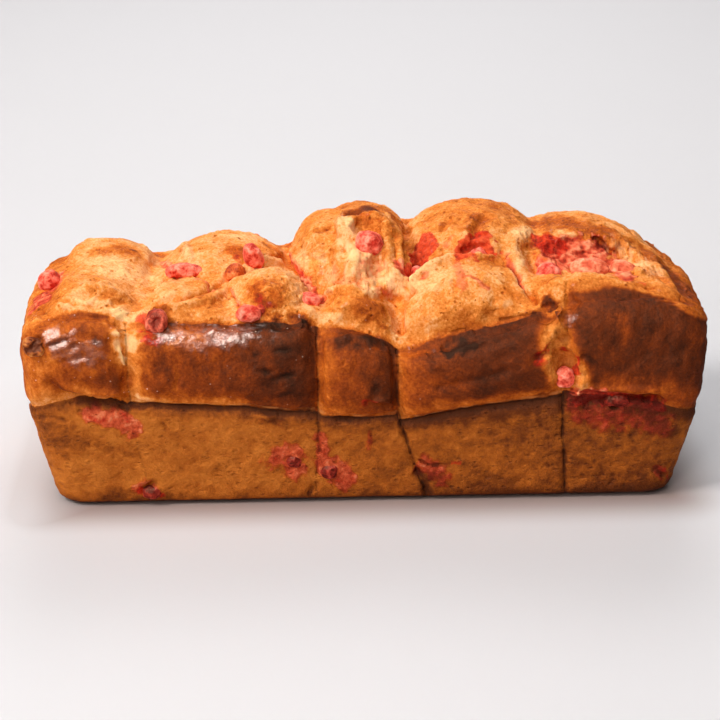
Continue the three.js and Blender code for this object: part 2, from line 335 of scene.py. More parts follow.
def shade_near_foot(tree):
    """The floor's colour, darker close to the foot, because the soft lamps leave too little shadow there."""
    place = node(tree, "TexCoord").outputs["Object"]
    beyond = node(tree, "VectorMath", {0: place}, operation="ABSOLUTE").outputs[0]
    foot_half = (FOOT_LENGTH / 2 * MM, FOOT_WIDTH / 2 * MM, 0)
    beyond = node(tree, "VectorMath", {0: beyond, 1: foot_half}, operation="SUBTRACT").outputs[0]
    beyond = node(tree, "VectorMath", {0: beyond, 1: (0, 0, 0)}, operation="MAXIMUM").outputs[0]
    away = node(tree, "VectorMath", {0: beyond}, operation="LENGTH").outputs["Value"]
    beyond_shade = fade(tree, away, -2 * MM, FOOT_SHADE * MM)
    beyond_rim = fade(tree, away, -FOOT_RIM * MM, FOOT_RIM * MM)
    far_share = product(tree, beyond_shade, beyond_rim)
    along = node(tree, "SeparateXYZ", {0: place}).outputs[0]
    lit_side = fade(tree, along, LIT_END[0] * MM, LIT_END[1] * MM, 0.85, 0)
    return blend_colours(tree, sums(tree, "MAXIMUM", far_share, lit_side), NEAR_FLOOR, FAR_FLOOR)


floor_tree.links.new(shade_near_foot(floor_tree), floor_shader.inputs["Base Color"])
print("floor:", len(floor_tree.nodes), "nodes")


# %% Soft studio light
LOAF_MIDDLE = (0, 0, 0.05)
SKY_COLOUR = (0.94, 0.96, 1, 1)
SKY_STRENGTH = 0.15


def area_light(name, place, aim, size, power, colour=(1, 1, 1), only_shine=False):
    """A square lamp. One that only shines is seen in glossy skin, but doesn't light it, as a card would."""
    deselect_all()
    bpy.ops.object.light_add(type="AREA", location=place)
    lamp = bpy.context.object
    lamp.name = name
    lamp.rotation_euler = (Vector(aim) - Vector(place)).to_track_quat("-Z", "Y").to_euler()
    lamp.data.size = size
    lamp.data.energy = power
    lamp.data.color = colour
    lamp.visible_diffuse = not only_shine


area_light("window", (-1.2, -0.62, 1.45), LOAF_MIDDLE, 0.6, 32, (1, 0.985, 0.96))
area_light("front window", (-0.8, -1.7, 1.05), LOAF_MIDDLE, 0.35, 8, (1, 0.97, 0.95))
area_light("front card", (-0.9, -1.7, 1.75), LOAF_MIDDLE, 0.8, 330, (1, 0.8, 0.7), only_shine=True)
area_light("top card", (-0.5, 0.1, 2.2), LOAF_MIDDLE, 0.7, 16, (1, 0.92, 0.84), only_shine=True)
area_light("back wash", (0, 1.0, 1.1), (0, 0.9, 0), 0.8, 6)
area_light("soft top", (0.1, -0.5, 2.1), LOAF_MIDDLE, 1.4, 22)
area_light("soft back", (0.2, 2.2, 1.6), (0, 0.7, 0), 1.4, 16)

world = bpy.data.worlds.new("studio")
world.use_nodes = True
sky = world.node_tree.nodes["Background"]
sky.inputs["Color"].default_value = SKY_COLOUR
sky.inputs["Strength"].default_value = SKY_STRENGTH
bpy.context.scene.world = world
bpy.context.scene.view_settings.view_transform = "Standard"

# %% [markdown]
# ## The moulded foot
# The lower 42 mm of the loaf took the shape of its mould: a long box that narrows downwards, with rounded
# upright corners and a soft bottom edge. It is modelled by hand from a cube: the four upright edges are
# bevelled, the bottom face is made smaller, its edges are bevelled, and the top is extruded twice so that the
# block runs on into the dough above.

# %% The moulded block
NEARLY = 0.01  # millimetres
BLOCK_INSETS = (1, 7)  # how much smaller the block's top gets with each extrusion
BLOCK_STEP = 9


def select_nothing(piece, mode):
    choose(piece)
    bpy.ops.object.mode_set(mode="EDIT")
    bpy.ops.mesh.select_mode(type=mode)
    bpy.ops.mesh.select_all(action="DESELECT")
    bpy.ops.object.mode_set(mode="OBJECT")


def select_edges(piece, wanted):
    """Selects the edges whose two ends, in millimetres, pass the test. Ends in edit mode."""
    select_nothing(piece, "EDGE")
    points = points_of(piece)
    for edge in piece.data.edges:
        edge.select = bool(wanted(*points[list(edge.vertices)]))
    bpy.ops.object.mode_set(mode="EDIT")


def select_faces(piece, wanted):
    """Selects the faces whose middle, in millimetres, passes the test. Ends in edit mode."""
    select_nothing(piece, "FACE")
    for face in piece.data.polygons:
        face.select = bool(wanted(face.center / MM))
    bpy.ops.object.mode_set(mode="EDIT")


deselect_all()
bpy.ops.mesh.primitive_cube_add(size=1, location=(0, 0, RIM_HEIGHT / 2 * MM))
moulded = bpy.context.object
moulded.name = "moulded block"
moulded.scale = (RIM_LENGTH * MM, RIM_WIDTH * MM, RIM_HEIGHT * MM)
apply_place(moulded)
select_edges(moulded, lambda a, b: abs(a[2] - b[2]) > NEARLY)
bpy.ops.mesh.bevel(offset=CORNER * MM, segments=8)
select_faces(moulded, lambda middle: middle.z < NEARLY)
bpy.ops.transform.resize(value=(FOOT_LENGTH / RIM_LENGTH, FOOT_WIDTH / RIM_WIDTH, 1))
select_edges(moulded, lambda a, b: max(a[2], b[2]) < NEARLY)
bpy.ops.mesh.bevel(offset=FOOT_EDGE * MM, segments=4)
select_faces(moulded, lambda middle: middle.z > RIM_HEIGHT - NEARLY)
for inset in BLOCK_INSETS:
    bpy.ops.mesh.extrude_region_move(TRANSFORM_OT_translate={"value": (0, 0, BLOCK_STEP * MM)})
    bpy.ops.transform.resize(value=(1 - 2 * inset / RIM_LENGTH, 1 - 2 * inset / RIM_WIDTH, 1))
bpy.ops.object.mode_set(mode="OBJECT")
print("moulded block:", len(moulded.data.polygons), "faces")

# %% [markdown]
# ## The five pillows
# Above the lip each piece of dough swelled into a pillow as wide as the loaf. A pillow is a subdivided cube
# whose points are pushed onto a puffed block. The power on each axis says how square it is: 2 gives a ball
# and 30 a sharp edge. So one cube can have tight sides against its neighbours, a crisp lower lip and a
# rounder shoulder. The lip and the shoulder then follow their own curves along the loaf.

# %% The five pieces of dough
# Lip, shoulder and crisp are given at the left end, the middle and the right end of a piece. Crisp tells how
# sharply the lip stands out. Bake tells how dark the pillow is at five places along it, from 0 to 1.
PIECES = [
    {
        "from": -139,
        "to": -95.5,
        "lip": (43, 51, 47),
        "shoulder": (85, 89.5, 87),
        "crisp": (0.1, 0.4, 1),
        "bake": (0.44, 0.47, 0.51, 0.57, 0.48),
    },
    {
        "from": -95.5,
        "to": -20,
        "lip": (48.5, 47, 43),
        "shoulder": (86, 84.5, 85.5),
        "crisp": (1, 1, 1),
        "bake": (0.42, 0.56, 0.63, 0.8, 0.72),
    },
    {
        "from": -20,
        "to": 12,
        "lip": (42.3, 41, 42),
        "shoulder": (82.5, 80.5, 74),
        "crisp": (0.8, 0.8, 0.8),
        "bake": (0.48, 0.52, 0.61, 0.74, 0.74),
    },
    {
        "from": 12,
        "to": 79,
        "lip": (38.5, 45, 49),
        "shoulder": (72, 79, 93),
        "crisp": (1, 1, 0.8),
        "bake": (0.42, 0.57, 0.78, 0.73, 0.48),
    },
    {
        "from": 79,
        "to": 139,
        "lip": (50.5, 46.5, 38.5),
        "shoulder": (93, 94.5, 87),
        "crisp": (0.2, 0, 0.4),
        "bake": (0.52, 0.7, 0.78, 0.74, 0.7),
    },
]
print("pieces:", [piece["to"] - piece["from"] for piece in PIECES], "mm long")


# %% A cube puffed up to a soft block
def through(values, share):
    """The smooth curve through three values at 0, one half and 1."""
    first, middle, last = values
    return (
        first * (1 - share) * (1 - 2 * share)
        + 4 * middle * share * (1 - share)
        + last * share * (2 * share - 1)
    )


HALVINGS = 30  # each halves what is still open about where the surface lies


def reach(direction, powers):
    """How far along each direction the surface |x|^p + |y|^q + |z|^r = 1 lies."""
    near = np.zeros(len(direction))
    far = np.ones(len(direction))
    for _ in range(HALVINGS):
        middle = (near + far) / 2
        inside = (np.abs(middle[:, None] * direction) ** powers).sum(axis=1) < 1
        near = np.where(inside, middle, near)
        far = np.where(inside, far, middle)
    return near


def subdivided_cube(name, cuts):
    deselect_all()
    bpy.ops.mesh.primitive_cube_add(size=2)
    cube = bpy.context.object
    cube.name = name
    bpy.ops.object.mode_set(mode="EDIT")
    bpy.ops.mesh.select_all(action="SELECT")
    bpy.ops.mesh.subdivide(number_cuts=cuts)
    bpy.ops.object.mode_set(mode="OBJECT")
    return cube


def puffed_shape(cube, crowding, powers_at):
    """The cube's points on the puffed block of half size 1. A crowding above 1 draws them to its edges."""
    corner = points_of(cube) * MM
    direction = np.sign(corner) * (1 - (1 - np.abs(corner)) ** crowding)
    powers = np.stack([power + 0.0 * direction[:, 0] for power in powers_at(direction)], axis=1)
    return direction * reach(direction, powers)[:, None]


# %% The pillows
PILLOW_CUTS = 39
PILLOW_CROWDING = 1.7
END_POWER = 5  # the two ends of the loaf are round
SEAM_POWER = 20  # the sides between two pieces are tight
END_SIDE_POWER = 6
FRONT_POWER = 8
SHOULDER_POWER = 7
LIP_POWER = 30


def pillow(index, piece):
    is_first = index == 0
    is_last = index == len(PIECES) - 1
    start = piece["from"] - (0 if is_first else DOUGH_OVERLAP / 2)
    end = piece["to"] + (0 if is_last else DOUGH_OVERLAP / 2)

    def is_outer(x):
        return (x < 0) & is_first | (x > 0) & is_last

    def powers_at(direction):
        outer = is_outer(direction[:, 0])
        lengthwise = np.where(outer, END_POWER, SEAM_POWER)
        sideways = np.where(outer, END_SIDE_POWER, FRONT_POWER)
        upwards = np.where(direction[:, 2] > 0, SHOULDER_POWER, LIP_POWER)
        return lengthwise, sideways, upwards

    cube = subdivided_cube("pillow", PILLOW_CUTS)
    x, y, z = puffed_shape(cube, PILLOW_CROWDING, powers_at).T
    along = (x + 1) / 2
    low = through(piece["lip"], along)
    high = through(piece["shoulder"], along) - REAR_FALL * np.maximum(0, y)
    tuck = np.where(z < 0, 1 - LIP_TUCK * z**2, 1)
    middle = (start + end) / 2
    reached = middle + (start + (end - start) * along - middle) * np.where(is_outer(x), tuck, 1)
    move_points(cube, np.stack([reached, y * LOAF_WIDTH * tuck / 2, low + (high - low) * (z + 1) / 2], 1))
    return cube


pillows = [pillow(index, piece) for index, piece in enumerate(PIECES)]
print("pillows:", [round(float(np.ptp(points_of(p)[:, 0])), 1) for p in pillows], "mm long")

# %% [markdown]
# ## The lobes of the top
# Where the crust gave way, the dough rose in round lobes. They are puffed balls, sized, leaned and turned by
# a small list. A rolled edge, such as the one round the bun's hollow, is a curve with a thickness that is
# turned into a mesh.

# %% Lobes
# Each has its middle and its half lengths along x, y and z, and a lean and a turn in degrees.
LOBES = [
    {"at": (-109, 12, 62), "half": (30, 43, 29.5)},
    {"at": (-57, 12, 62), "half": (32, 43, 32.5)},
    {"at": (-1, 13, 66), "half": (25, 41, 42), "lean": 3},
    {"at": (-13, 14, 64), "half": (19, 38, 41)},
    {"at": (1, -13, 62), "half": (21, 25, 38)},
    {"at": (48, 13, 64), "half": (37, 41, 44)},
    {"at": (90, 9, 60), "half": (41, 44, 42.5), "lean": 7},
    {"at": (119, 2, 60), "half": (20, 46, 28), "lean": 5},
    {"at": (-113, -27, 62), "half": (25, 26, 30)},
    {"at": (-73, -28, 61), "half": (24, 25, 29), "turn": 12},
    {"at": (-39, -27, 61), "half": (20, 26, 34)},
    {"at": (-3, -31, 60), "half": (17, 22, 31)},
    {"at": (42, -27, 64), "half": (32, 27, 32), "turn": 6},
    {"at": (-84, 33, 60), "half": (34, 22, 21)},
    {"at": (-26, 34, 60), "half": (22, 20, 24)},
    {"at": (22, 34, 62), "half": (22, 20, 32)},
    {"at": (88, 32, 60), "half": (34, 22, 31), "lean": 6},
]
BALL_CUTS = 23
BALL_CROWDING = 0.85
LOBE_POWER = 2.3


def ball(name, shape, power):
    cube = subdivided_cube(name, BALL_CUTS)
    move_points(cube, puffed_shape(cube, BALL_CROWDING, lambda direction: (power, power, power)) / MM)
    cube.scale = Vector(shape["half"]) * MM
    cube.rotation_euler = (0, math.radians(shape.get("lean", 0)), math.radians(shape.get("turn", 0)))
    cube.location = Vector(shape["at"]) * MM
    apply_place(cube)
    return cube


lobes = [ball("lobe", lobe, LOBE_POWER) for lobe in LOBES]
print("lobes:", len(lobes))


# %% Rolled folds
BUN_EDGE = [(-9, -26, 87), (-9, -13, 98), (0, 3, 106), (10, -4, 103), (15, -18, 94), (13, -32, 83)]
BUN_EDGE_RADIUS = 4.5
CRATER_EDGE = [
    (72, 16, 97),
    (63, 4, 94),
    (61, -12, 91),
    (66, -27, 86),
    (80, -38, 88),
    (103, -41, 88),
    (122, -39, 84),
]
CRATER_EDGE_RADIUS = 7
FOLD_STEPS = 8
FOLD_END = 0.02  # the share of its thickness, squared, that a roll keeps at its two ends


def smooth_line(corners, steps):
    """Even steps along the rounded line through some corners, in as many dimensions as they have."""
    corners = np.array(corners, float)
    ends = np.vstack([2 * corners[0] - corners[1], corners, 2 * corners[-1] - corners[-2]])
    line = []
    for a, b, c, d in zip(ends, ends[1:], ends[2:], ends[3:]):
        for share in np.arange(steps) / steps:
            line.append(
                b
                + (c - a) * share / 2
                + (2 * a - 5 * b + 4 * c - d) * share**2 / 2
                + (3 * b - a - 3 * c + d) * share**3 / 2
            )
    return np.array([*line, corners[-1]])


def rolled_fold(name, corners, radius):
    """A tube along a rounded line, with tapered ends."""
    line = smooth_line(corners, FOLD_STEPS)
    along = np.linspace(-1, 1, len(line))
    curve = bpy.data.curves.new(name, "CURVE")
    curve.dimensions = "3D"
    curve.bevel_depth = radius * MM
    curve.bevel_resolution = 6
    curve.use_fill_caps = True
    spline = curve.splines.new("POLY")
    spline.points.add(len(line) - 1)
    for point, place, share in zip(spline.points, line, along):
        point.co = (*(place * MM), 1)
        point.radius = math.sqrt(max(FOLD_END, 1 - abs(share) ** 4))
    roll = bpy.data.objects.new(name, curve)
    bpy.context.collection.objects.link(roll)
    choose(roll)
    bpy.ops.object.convert(target="MESH")
    return bpy.context.object


bun_edge = rolled_fold("bun edge", BUN_EDGE, BUN_EDGE_RADIUS)
print("bun edge:", len(bun_edge.data.vertices), "points")

# %% [markdown]
# ## One body of dough
# All of these are joined and given a voxel remesh, which keeps only the outer skin and lays an even net of
# points over it, so that the pieces look grown together. The tears are cut out by rough balls with a Boolean
# modifier. A second, finer remesh gives the net that the details are pressed into.

# %% Noise for roughness of any size
# Every draw has its own seed, so the loaf comes out the same each time.
GRADIENTS = np.random.default_rng(5).normal(size=(256, 3))
GRADIENTS /= np.linalg.norm(GRADIENTS, axis=1)[:, None]
SCATTER = (73856093, 19349663, 83492791, 2654435)  # large numbers that tell neighbouring cells apart
ASKEW_MATRIX = np.array(Euler(ASKEW).to_matrix())
LAYER_SHIFT = 31.7  # each finer layer of hills starts at another place
HILL_GAIN = 1.6  # brings the highest hills to about 1
SPOT_STRAY = 0.4  # how far a spot strays from the middle of its cell, in cells
NO_SPOT = 9.0  # stands for the distance where no spot is near, in cells


def cell_number(cell, seed):
    """A repeatable number from 0 to 255 for each cell of a grid."""
    x, y, z = cell.T
    mixed = (x * SCATTER[0]) ^ (y * SCATTER[1]) ^ (z * SCATTER[2]) ^ (seed * SCATTER[3])
    return ((mixed >> 5) ^ (mixed >> 13) ^ mixed) & 255


def hills(points, size, seed=0, octaves=1):
    """Smooth hills and dales from about -1 to 1, each size millimetres wide, with finer ones on them."""
    total = np.zeros(len(points))
    turned = points @ ASKEW_MATRIX
    for octave in range(octaves):
        place = turned / (size / 2**octave) + LAYER_SHIFT * octave
        cell = np.floor(place).astype(np.int64)
        inner = place - cell
        soft = inner**3 * (inner * (inner * 6 - 15) + 10)
        for corner in itertools.product((0, 1), repeat=3):
            slope = GRADIENTS[cell_number(cell + corner, seed + octave)]
            weight = np.prod(np.where(corner, soft, 1 - soft), axis=1)
            total += weight * ((inner - corner) * slope).sum(axis=1) * HILL_GAIN / 2**octave
    return total


def pocks(points, spacing, share, seed=0):
    """The distance in millimetres to the nearest of some scattered spots, for the share of cells with one."""
    place = points / spacing
    cell = np.floor(place).astype(np.int64)
    nearest = np.full(len(points), NO_SPOT)
    for step in itertools.product((-1, 0, 1), repeat=3):
        other = cell + step
        spot = other + 0.5 + SPOT_STRAY * GRADIENTS[cell_number(other, seed)]
        gap = np.linalg.norm(place - spot, axis=1)
        has_one = cell_number(other, seed + 7) < 256 * share
        nearest = np.where(has_one & (gap < nearest), gap, nearest)
    return nearest * spacing


# %% Join, tear open and remesh
COARSE_NET = 1.4
TEAR_NET = 0.8
FINE_NET = 0.95

# Listed like the lobes. Crumb tells how torn a place looks, and fade how far that reaches, in millimetres.
TEARS = [
    {"at": (90, -20, 101), "half": (27, 16, 11.5), "lean": 9},
    {"at": (2, -10, 113), "half": (9, 15, 12)},
    {"at": (6, -27, 98), "half": (6, 10, 8)},
    {"at": (23, -14, 98), "half": (3.5, 6, 9), "lean": 12},
    {"at": (46, -15, 101), "half": (6, 5, 6)},
    {"at": (-25, -22, 95), "half": (3, 16, 6), "turn": -12},
    {"at": (74, -41, 87), "half": (3, 5, 4)},
    {"at": (79, -58, 62), "half": (4.5, 7, 13), "lean": -22, "fade": 5.6},
    {"at": (103, -56, 46.5), "half": (19, 5.5, 3.5), "lean": -2, "crumb": 0.2},
    {"at": (-44, 40, 88), "half": (12, 5, 6), "turn": 20},
    {"at": (58, 42, 101), "half": (15, 9, 9), "turn": -14},
]
TEAR_ROUGHNESS = 0.9
TEAR_POWER = 2.1


def rough_tear(tear):
    cutter = ball("tear", tear, TEAR_POWER)
    points = points_of(cutter)
    depth = hills(points, 5, seed=3, octaves=3) * TEAR_ROUGHNESS
    move_points(cutter, points + outward(cutter) * depth[:, None])
    return cutter


dough = join_pieces("dough", [moulded, *pillows, *lobes, bun_edge])
apply_modifier(dough, "REMESH", mode="VOXEL", voxel_size=COARSE_NET * MM)
apply_modifier(dough, "SMOOTH", factor=0.5, iterations=4)

cutters = join_pieces("tears", [rough_tear(tear) for tear in TEARS])
apply_modifier(cutters, "REMESH", mode="VOXEL", voxel_size=TEAR_NET * MM)
apply_modifier(dough, "BOOLEAN", operation="DIFFERENCE", solver="MANIFOLD", object=cutters)
bpy.data.objects.remove(cutters)

crater_edge = rolled_fold("crater edge", CRATER_EDGE, CRATER_EDGE_RADIUS)
dough = join_pieces("brioche", [dough, crater_edge])
apply_modifier(dough, "REMESH", mode="VOXEL", voxel_size=FINE_NET * MM)
apply_modifier(dough, "SMOOTH", factor=0.5, iterations=5)
print("dough:", len(dough.data.vertices), "points")

# %% [markdown]
# ## Where the loaf is band, wall, top or tear
# The finish changes from zone to zone: the wall is below the lip, the band between lip and shoulder, and the
# top above it. The torn places are where the rough balls cut in. Each zone is found from a point's own place,
# and three more numbers tell how far the point is from the lip, the shoulder and the nearest seam.

# %% Zones
# Where a seam stands at the lip and at the foot's front and rear, how deep it splits the band between lip and
# shoulder, and how far it is open on the wall.
SEAMS = [
    {"lip": -95.5, "front": -88, "rear": -94, "split": 0.5, "open": 0.2},
    {"lip": -20, "front": -20.8, "rear": -19, "split": 0.9, "open": 0.5},
    {"lip": 12, "front": 25, "rear": 10, "split": 1, "open": 0.9},
    {"lip": 79, "front": 82.6, "rear": 79, "split": 0.1, "open": 0.9},
]


def along_pieces(x, name):
    """The value that each piece gives by name for its left end, middle and right end, at every x."""
    value = np.zeros(len(x))
    for piece in PIECES:
        share = np.clip((x - piece["from"]) / (piece["to"] - piece["from"]), 0, 1)
        here = x >= (piece["from"] if piece is not PIECES[0] else -LOAF_LENGTH)
        value[here] = through(piece[name], share)[here]
    return value


def along_seams(x, name):
    """The value that the seams give by name, blended in between."""
    return np.interp(x, [seam["lip"] for seam in SEAMS], [seam[name] for seam in SEAMS])


def on_last_piece(x):
    """0 on the first four pieces and 1 on the last, with a soft change across the torn gap."""
    return ease(76, 86, x)


def bell(distance, width):
    """1 at no distance, and hardly anything from twice the width on."""
    return np.exp(-((distance / width) ** 2))


def above_corner(points):
    """Millimetres above the corner of the pillows, where their sides meet their tops."""
    x, y, z = points.T
    return z - along_pieces(x, "shoulder") + REAR_FALL * np.clip(2 * y / LOAF_WIDTH, 0, 1)


WAVER = 0.7  # how far the lip and the seams waver
RAGGEDNESS = 0.8  # how far the line of the shoulder is ragged
WELL_INSIDE = 16  # lifts the middle of the top clear of the shoulder, so that no dip there turns dark
NO_SEAM = 99.0  # stands for the distance where no seam is near


def line_gaps(points):
    """Millimetres above the lip and the shoulder, and beside the nearest seam, with wavering lines."""
    x, y, z = points.T
    wobble = hills(points, 11, seed=17) + 0.4 * hills(points, 4, seed=18)
    ragged = hills(points, 8, seed=21, octaves=3)
    above_lip = z - along_pieces(x, "lip") + WAVER * wobble
    narrower = 7 * on_last_piece(x)  # the top of the last piece is narrower
    inner = (1 - ease(43 - narrower, 49 - narrower, np.abs(y))) * (1 - ease(123, 129, np.abs(x)))
    above_shoulder = above_corner(points) + RAGGEDNESS + RAGGEDNESS * ragged + WELL_INSIDE * inner
    # the pale top runs further down at the two ends and on the last piece
    above_shoulder += 13 * ease(118, 136, -x) + 5 * ease(118, 136, x)
    above_shoulder += 1.5 * on_last_piece(x) + 2 * ease(96, 120, x)
    beside_seam = np.full(len(points), NO_SEAM)
    side = np.ones(len(points))
    for seam in SEAMS:
        foot_end = np.where(y < 0, seam["front"], seam["rear"])
        seam_x = foot_end + (seam["lip"] - foot_end) * np.clip(z / RIM_HEIGHT, 0, 1)
        gap = x - seam_x - WAVER * wobble
        beside_seam = np.minimum(beside_seam, np.abs(gap))
        side *= np.sign(gap)
    return above_lip, above_shoulder, beside_seam * side


def zones(points):
    """How much each point belongs to the wall, to the band and to the top."""
    above_lip, above_shoulder, _ = line_gaps(points)
    inner = ease(10, 14, above_shoulder)
    top = ease(-1, 0.6, above_shoulder)
    wall = (1 - ease(-0.4, 0.4, above_lip)) * (1 - inner) * (1 - top)
    return wall, (1 - wall) * (1 - top), top


TORN_FADE = 4.6  # how far beside a tear the crumb turns into skin, where the tear doesn't say it


def torn_share(points):
    """How much each point lies in one of the tears, from 0 to 1."""
    share = np.zeros(len(points))
    for tear in TEARS:
        lean, turn = math.radians(tear.get("lean", 0)), math.radians(tear.get("turn", 0))
        offset = points - np.array(tear["at"])
        flat_x = offset[:, 0] * math.cos(turn) + offset[:, 1] * math.sin(turn)
        flat_y = -offset[:, 0] * math.sin(turn) + offset[:, 1] * math.cos(turn)
        local_x = flat_x * math.cos(lean) - offset[:, 2] * math.sin(lean)
        local_z = flat_x * math.sin(lean) + offset[:, 2] * math.cos(lean)
        local = np.stack([local_x, flat_y, local_z], axis=1) / np.array(tear["half"])
        outside = (np.linalg.norm(local, axis=1) - 1) * min(tear["half"])
        fading = 1 - ease(2, tear.get("fade", TORN_FADE), outside)
        share = np.maximum(share, tear.get("crumb", 1) * fading)
    return share


# %% [markdown]
# The joined pieces leave a ledge on top of the pillows, where the real skin runs down to the dark band in one
# curve. A Smooth modifier with a vertex group softens the ledge alone. The torn gap keeps its steep side.


# %% A soft way from the lobes down to the shoulders
LEDGE_LEVELS = 4


def soften_shoulder(piece):
    """Smooths the ledge on top of the pillows, most where it stands out."""
    points = points_of(piece)
    x, y, _ = points.T
    above = above_corner(points)
    sides = ease(30, 40, np.abs(y)) * (1 - 0.8 * on_last_piece(x) * (y < 0))
    outer = np.maximum(sides, ease(118, 128, np.abs(x)))
    weights = ease(-3, 1, above) * (1 - ease(5, 13, above)) * outer
    ledge = piece.vertex_groups.new(name="ledge")
    for level in range(1, LEDGE_LEVELS + 1):
        here = (weights > (level - 1) / LEDGE_LEVELS) & (weights <= level / LEDGE_LEVELS)
        ledge.add([int(i) for i in np.flatnonzero(here)], level / LEDGE_LEVELS, "REPLACE")
    apply_modifier(piece, "SMOOTH", factor=0.5, iterations=40, vertex_group="ledge")
    choose(piece)
    bpy.ops.object.vertex_group_remove(all=True)


soften_shoulder(dough)
print("shoulders softened")

# %% [markdown]
# ## Pressing in what the photograph shows
# A crease or a ridge is a line of pixels in the photograph. Each pixel sends a ray from the camera, and the
# spot where it meets the dough is a point of the line. All points of the dough near that line then move in
# or out, most on the line itself. It works like a thumb or a modelling tool on clay. What is on the front
# also goes to the rear, turned half round, because the photograph doesn't show that side.

# %% From a pixel to a spot on the dough
LINE_STEPS = 10
FRONT_REACH = -38  # a line with a middle further forward than this lies on the front
skin = BVHTree.FromObject(dough, bpy.context.evaluated_depsgraph_get())
camera_turned = camera.matrix_world.to_quaternion()


def seen(u, v):
    """The spot of the dough, in millimetres, that the camera sees at a pixel of the photograph."""
    half_view = SENSOR / 2 / LENS
    half_side = PHOTO_SIDE / 2
    across = (u - half_side) / half_side * half_view
    upward = (half_side - v) / half_side * half_view
    gaze = (camera_turned @ Vector((across, upward, -1))).normalized()
    spot = skin.ray_cast(camera.location, gaze)[0]
    return None if spot is None else np.array(spot) / MM


def pixel_of(points):
    """The pixel of the photograph that shows each point."""
    local = (points * MM - np.array(camera.location)) @ np.array(camera_turned.to_matrix())
    half_side = PHOTO_SIDE / 2
    scale = half_side * 2 * LENS / SENSOR / -local[:, 2:]
    return half_side + local[:, :2] * (1, -1) * scale


def traced(pixels):
    """The line on the dough under a line of pixels, and the pixels of it that show the dough."""
    pixel_line = smooth_line(pixels, LINE_STEPS) if len(pixels) > 1 else np.array(pixels, float)
    spots = [seen(u, v) for u, v in pixel_line]
    hit = [spot is not None for spot in spots]
    return np.array([spot for spot in spots if spot is not None]), pixel_line[hit]


def behind(line):
    """A line on the front, turned half round to the rear of the dough, or nothing for any other line.

    It keeps its share of the way from lip to shoulder, because the pillows at the rear are lower.
    """
    if len(line) == 0 or line[:, 1].mean() > FRONT_REACH:
        return np.empty((0, 3))
    turned = line * (-1, -1, 1)
    share = np.clip(1 + above_corner(line) / PILLOW_HEIGHT, 0, 1)
    turned[:, 2] += share * (above_corner(line) - above_corner(turned))
    spots = [skin.find_nearest(Vector(spot) * MM)[0] for spot in turned]
    return np.array(spots) / MM


def gaps_to(points, line, radius):
    """Which points lie in the box round a line, and how far each of those is from each spot of the line."""
    inside = np.all((points > line.min(axis=0) - radius) & (points < line.max(axis=0) + radius), axis=1)
    offsets = points[inside][:, None] - line[None]
    return inside, np.sqrt((offsets**2).sum(axis=-1))


def closeness(points, line, radius):
    """How near each point is to a line: 1 on it, and 0 at the radius and beyond."""
    near = np.zeros(len(points))
    inside, gaps = gaps_to(points, line, radius)
    near[inside] = 1 - gaps.min(axis=1) / radius
    return np.clip(near, 0, 1)


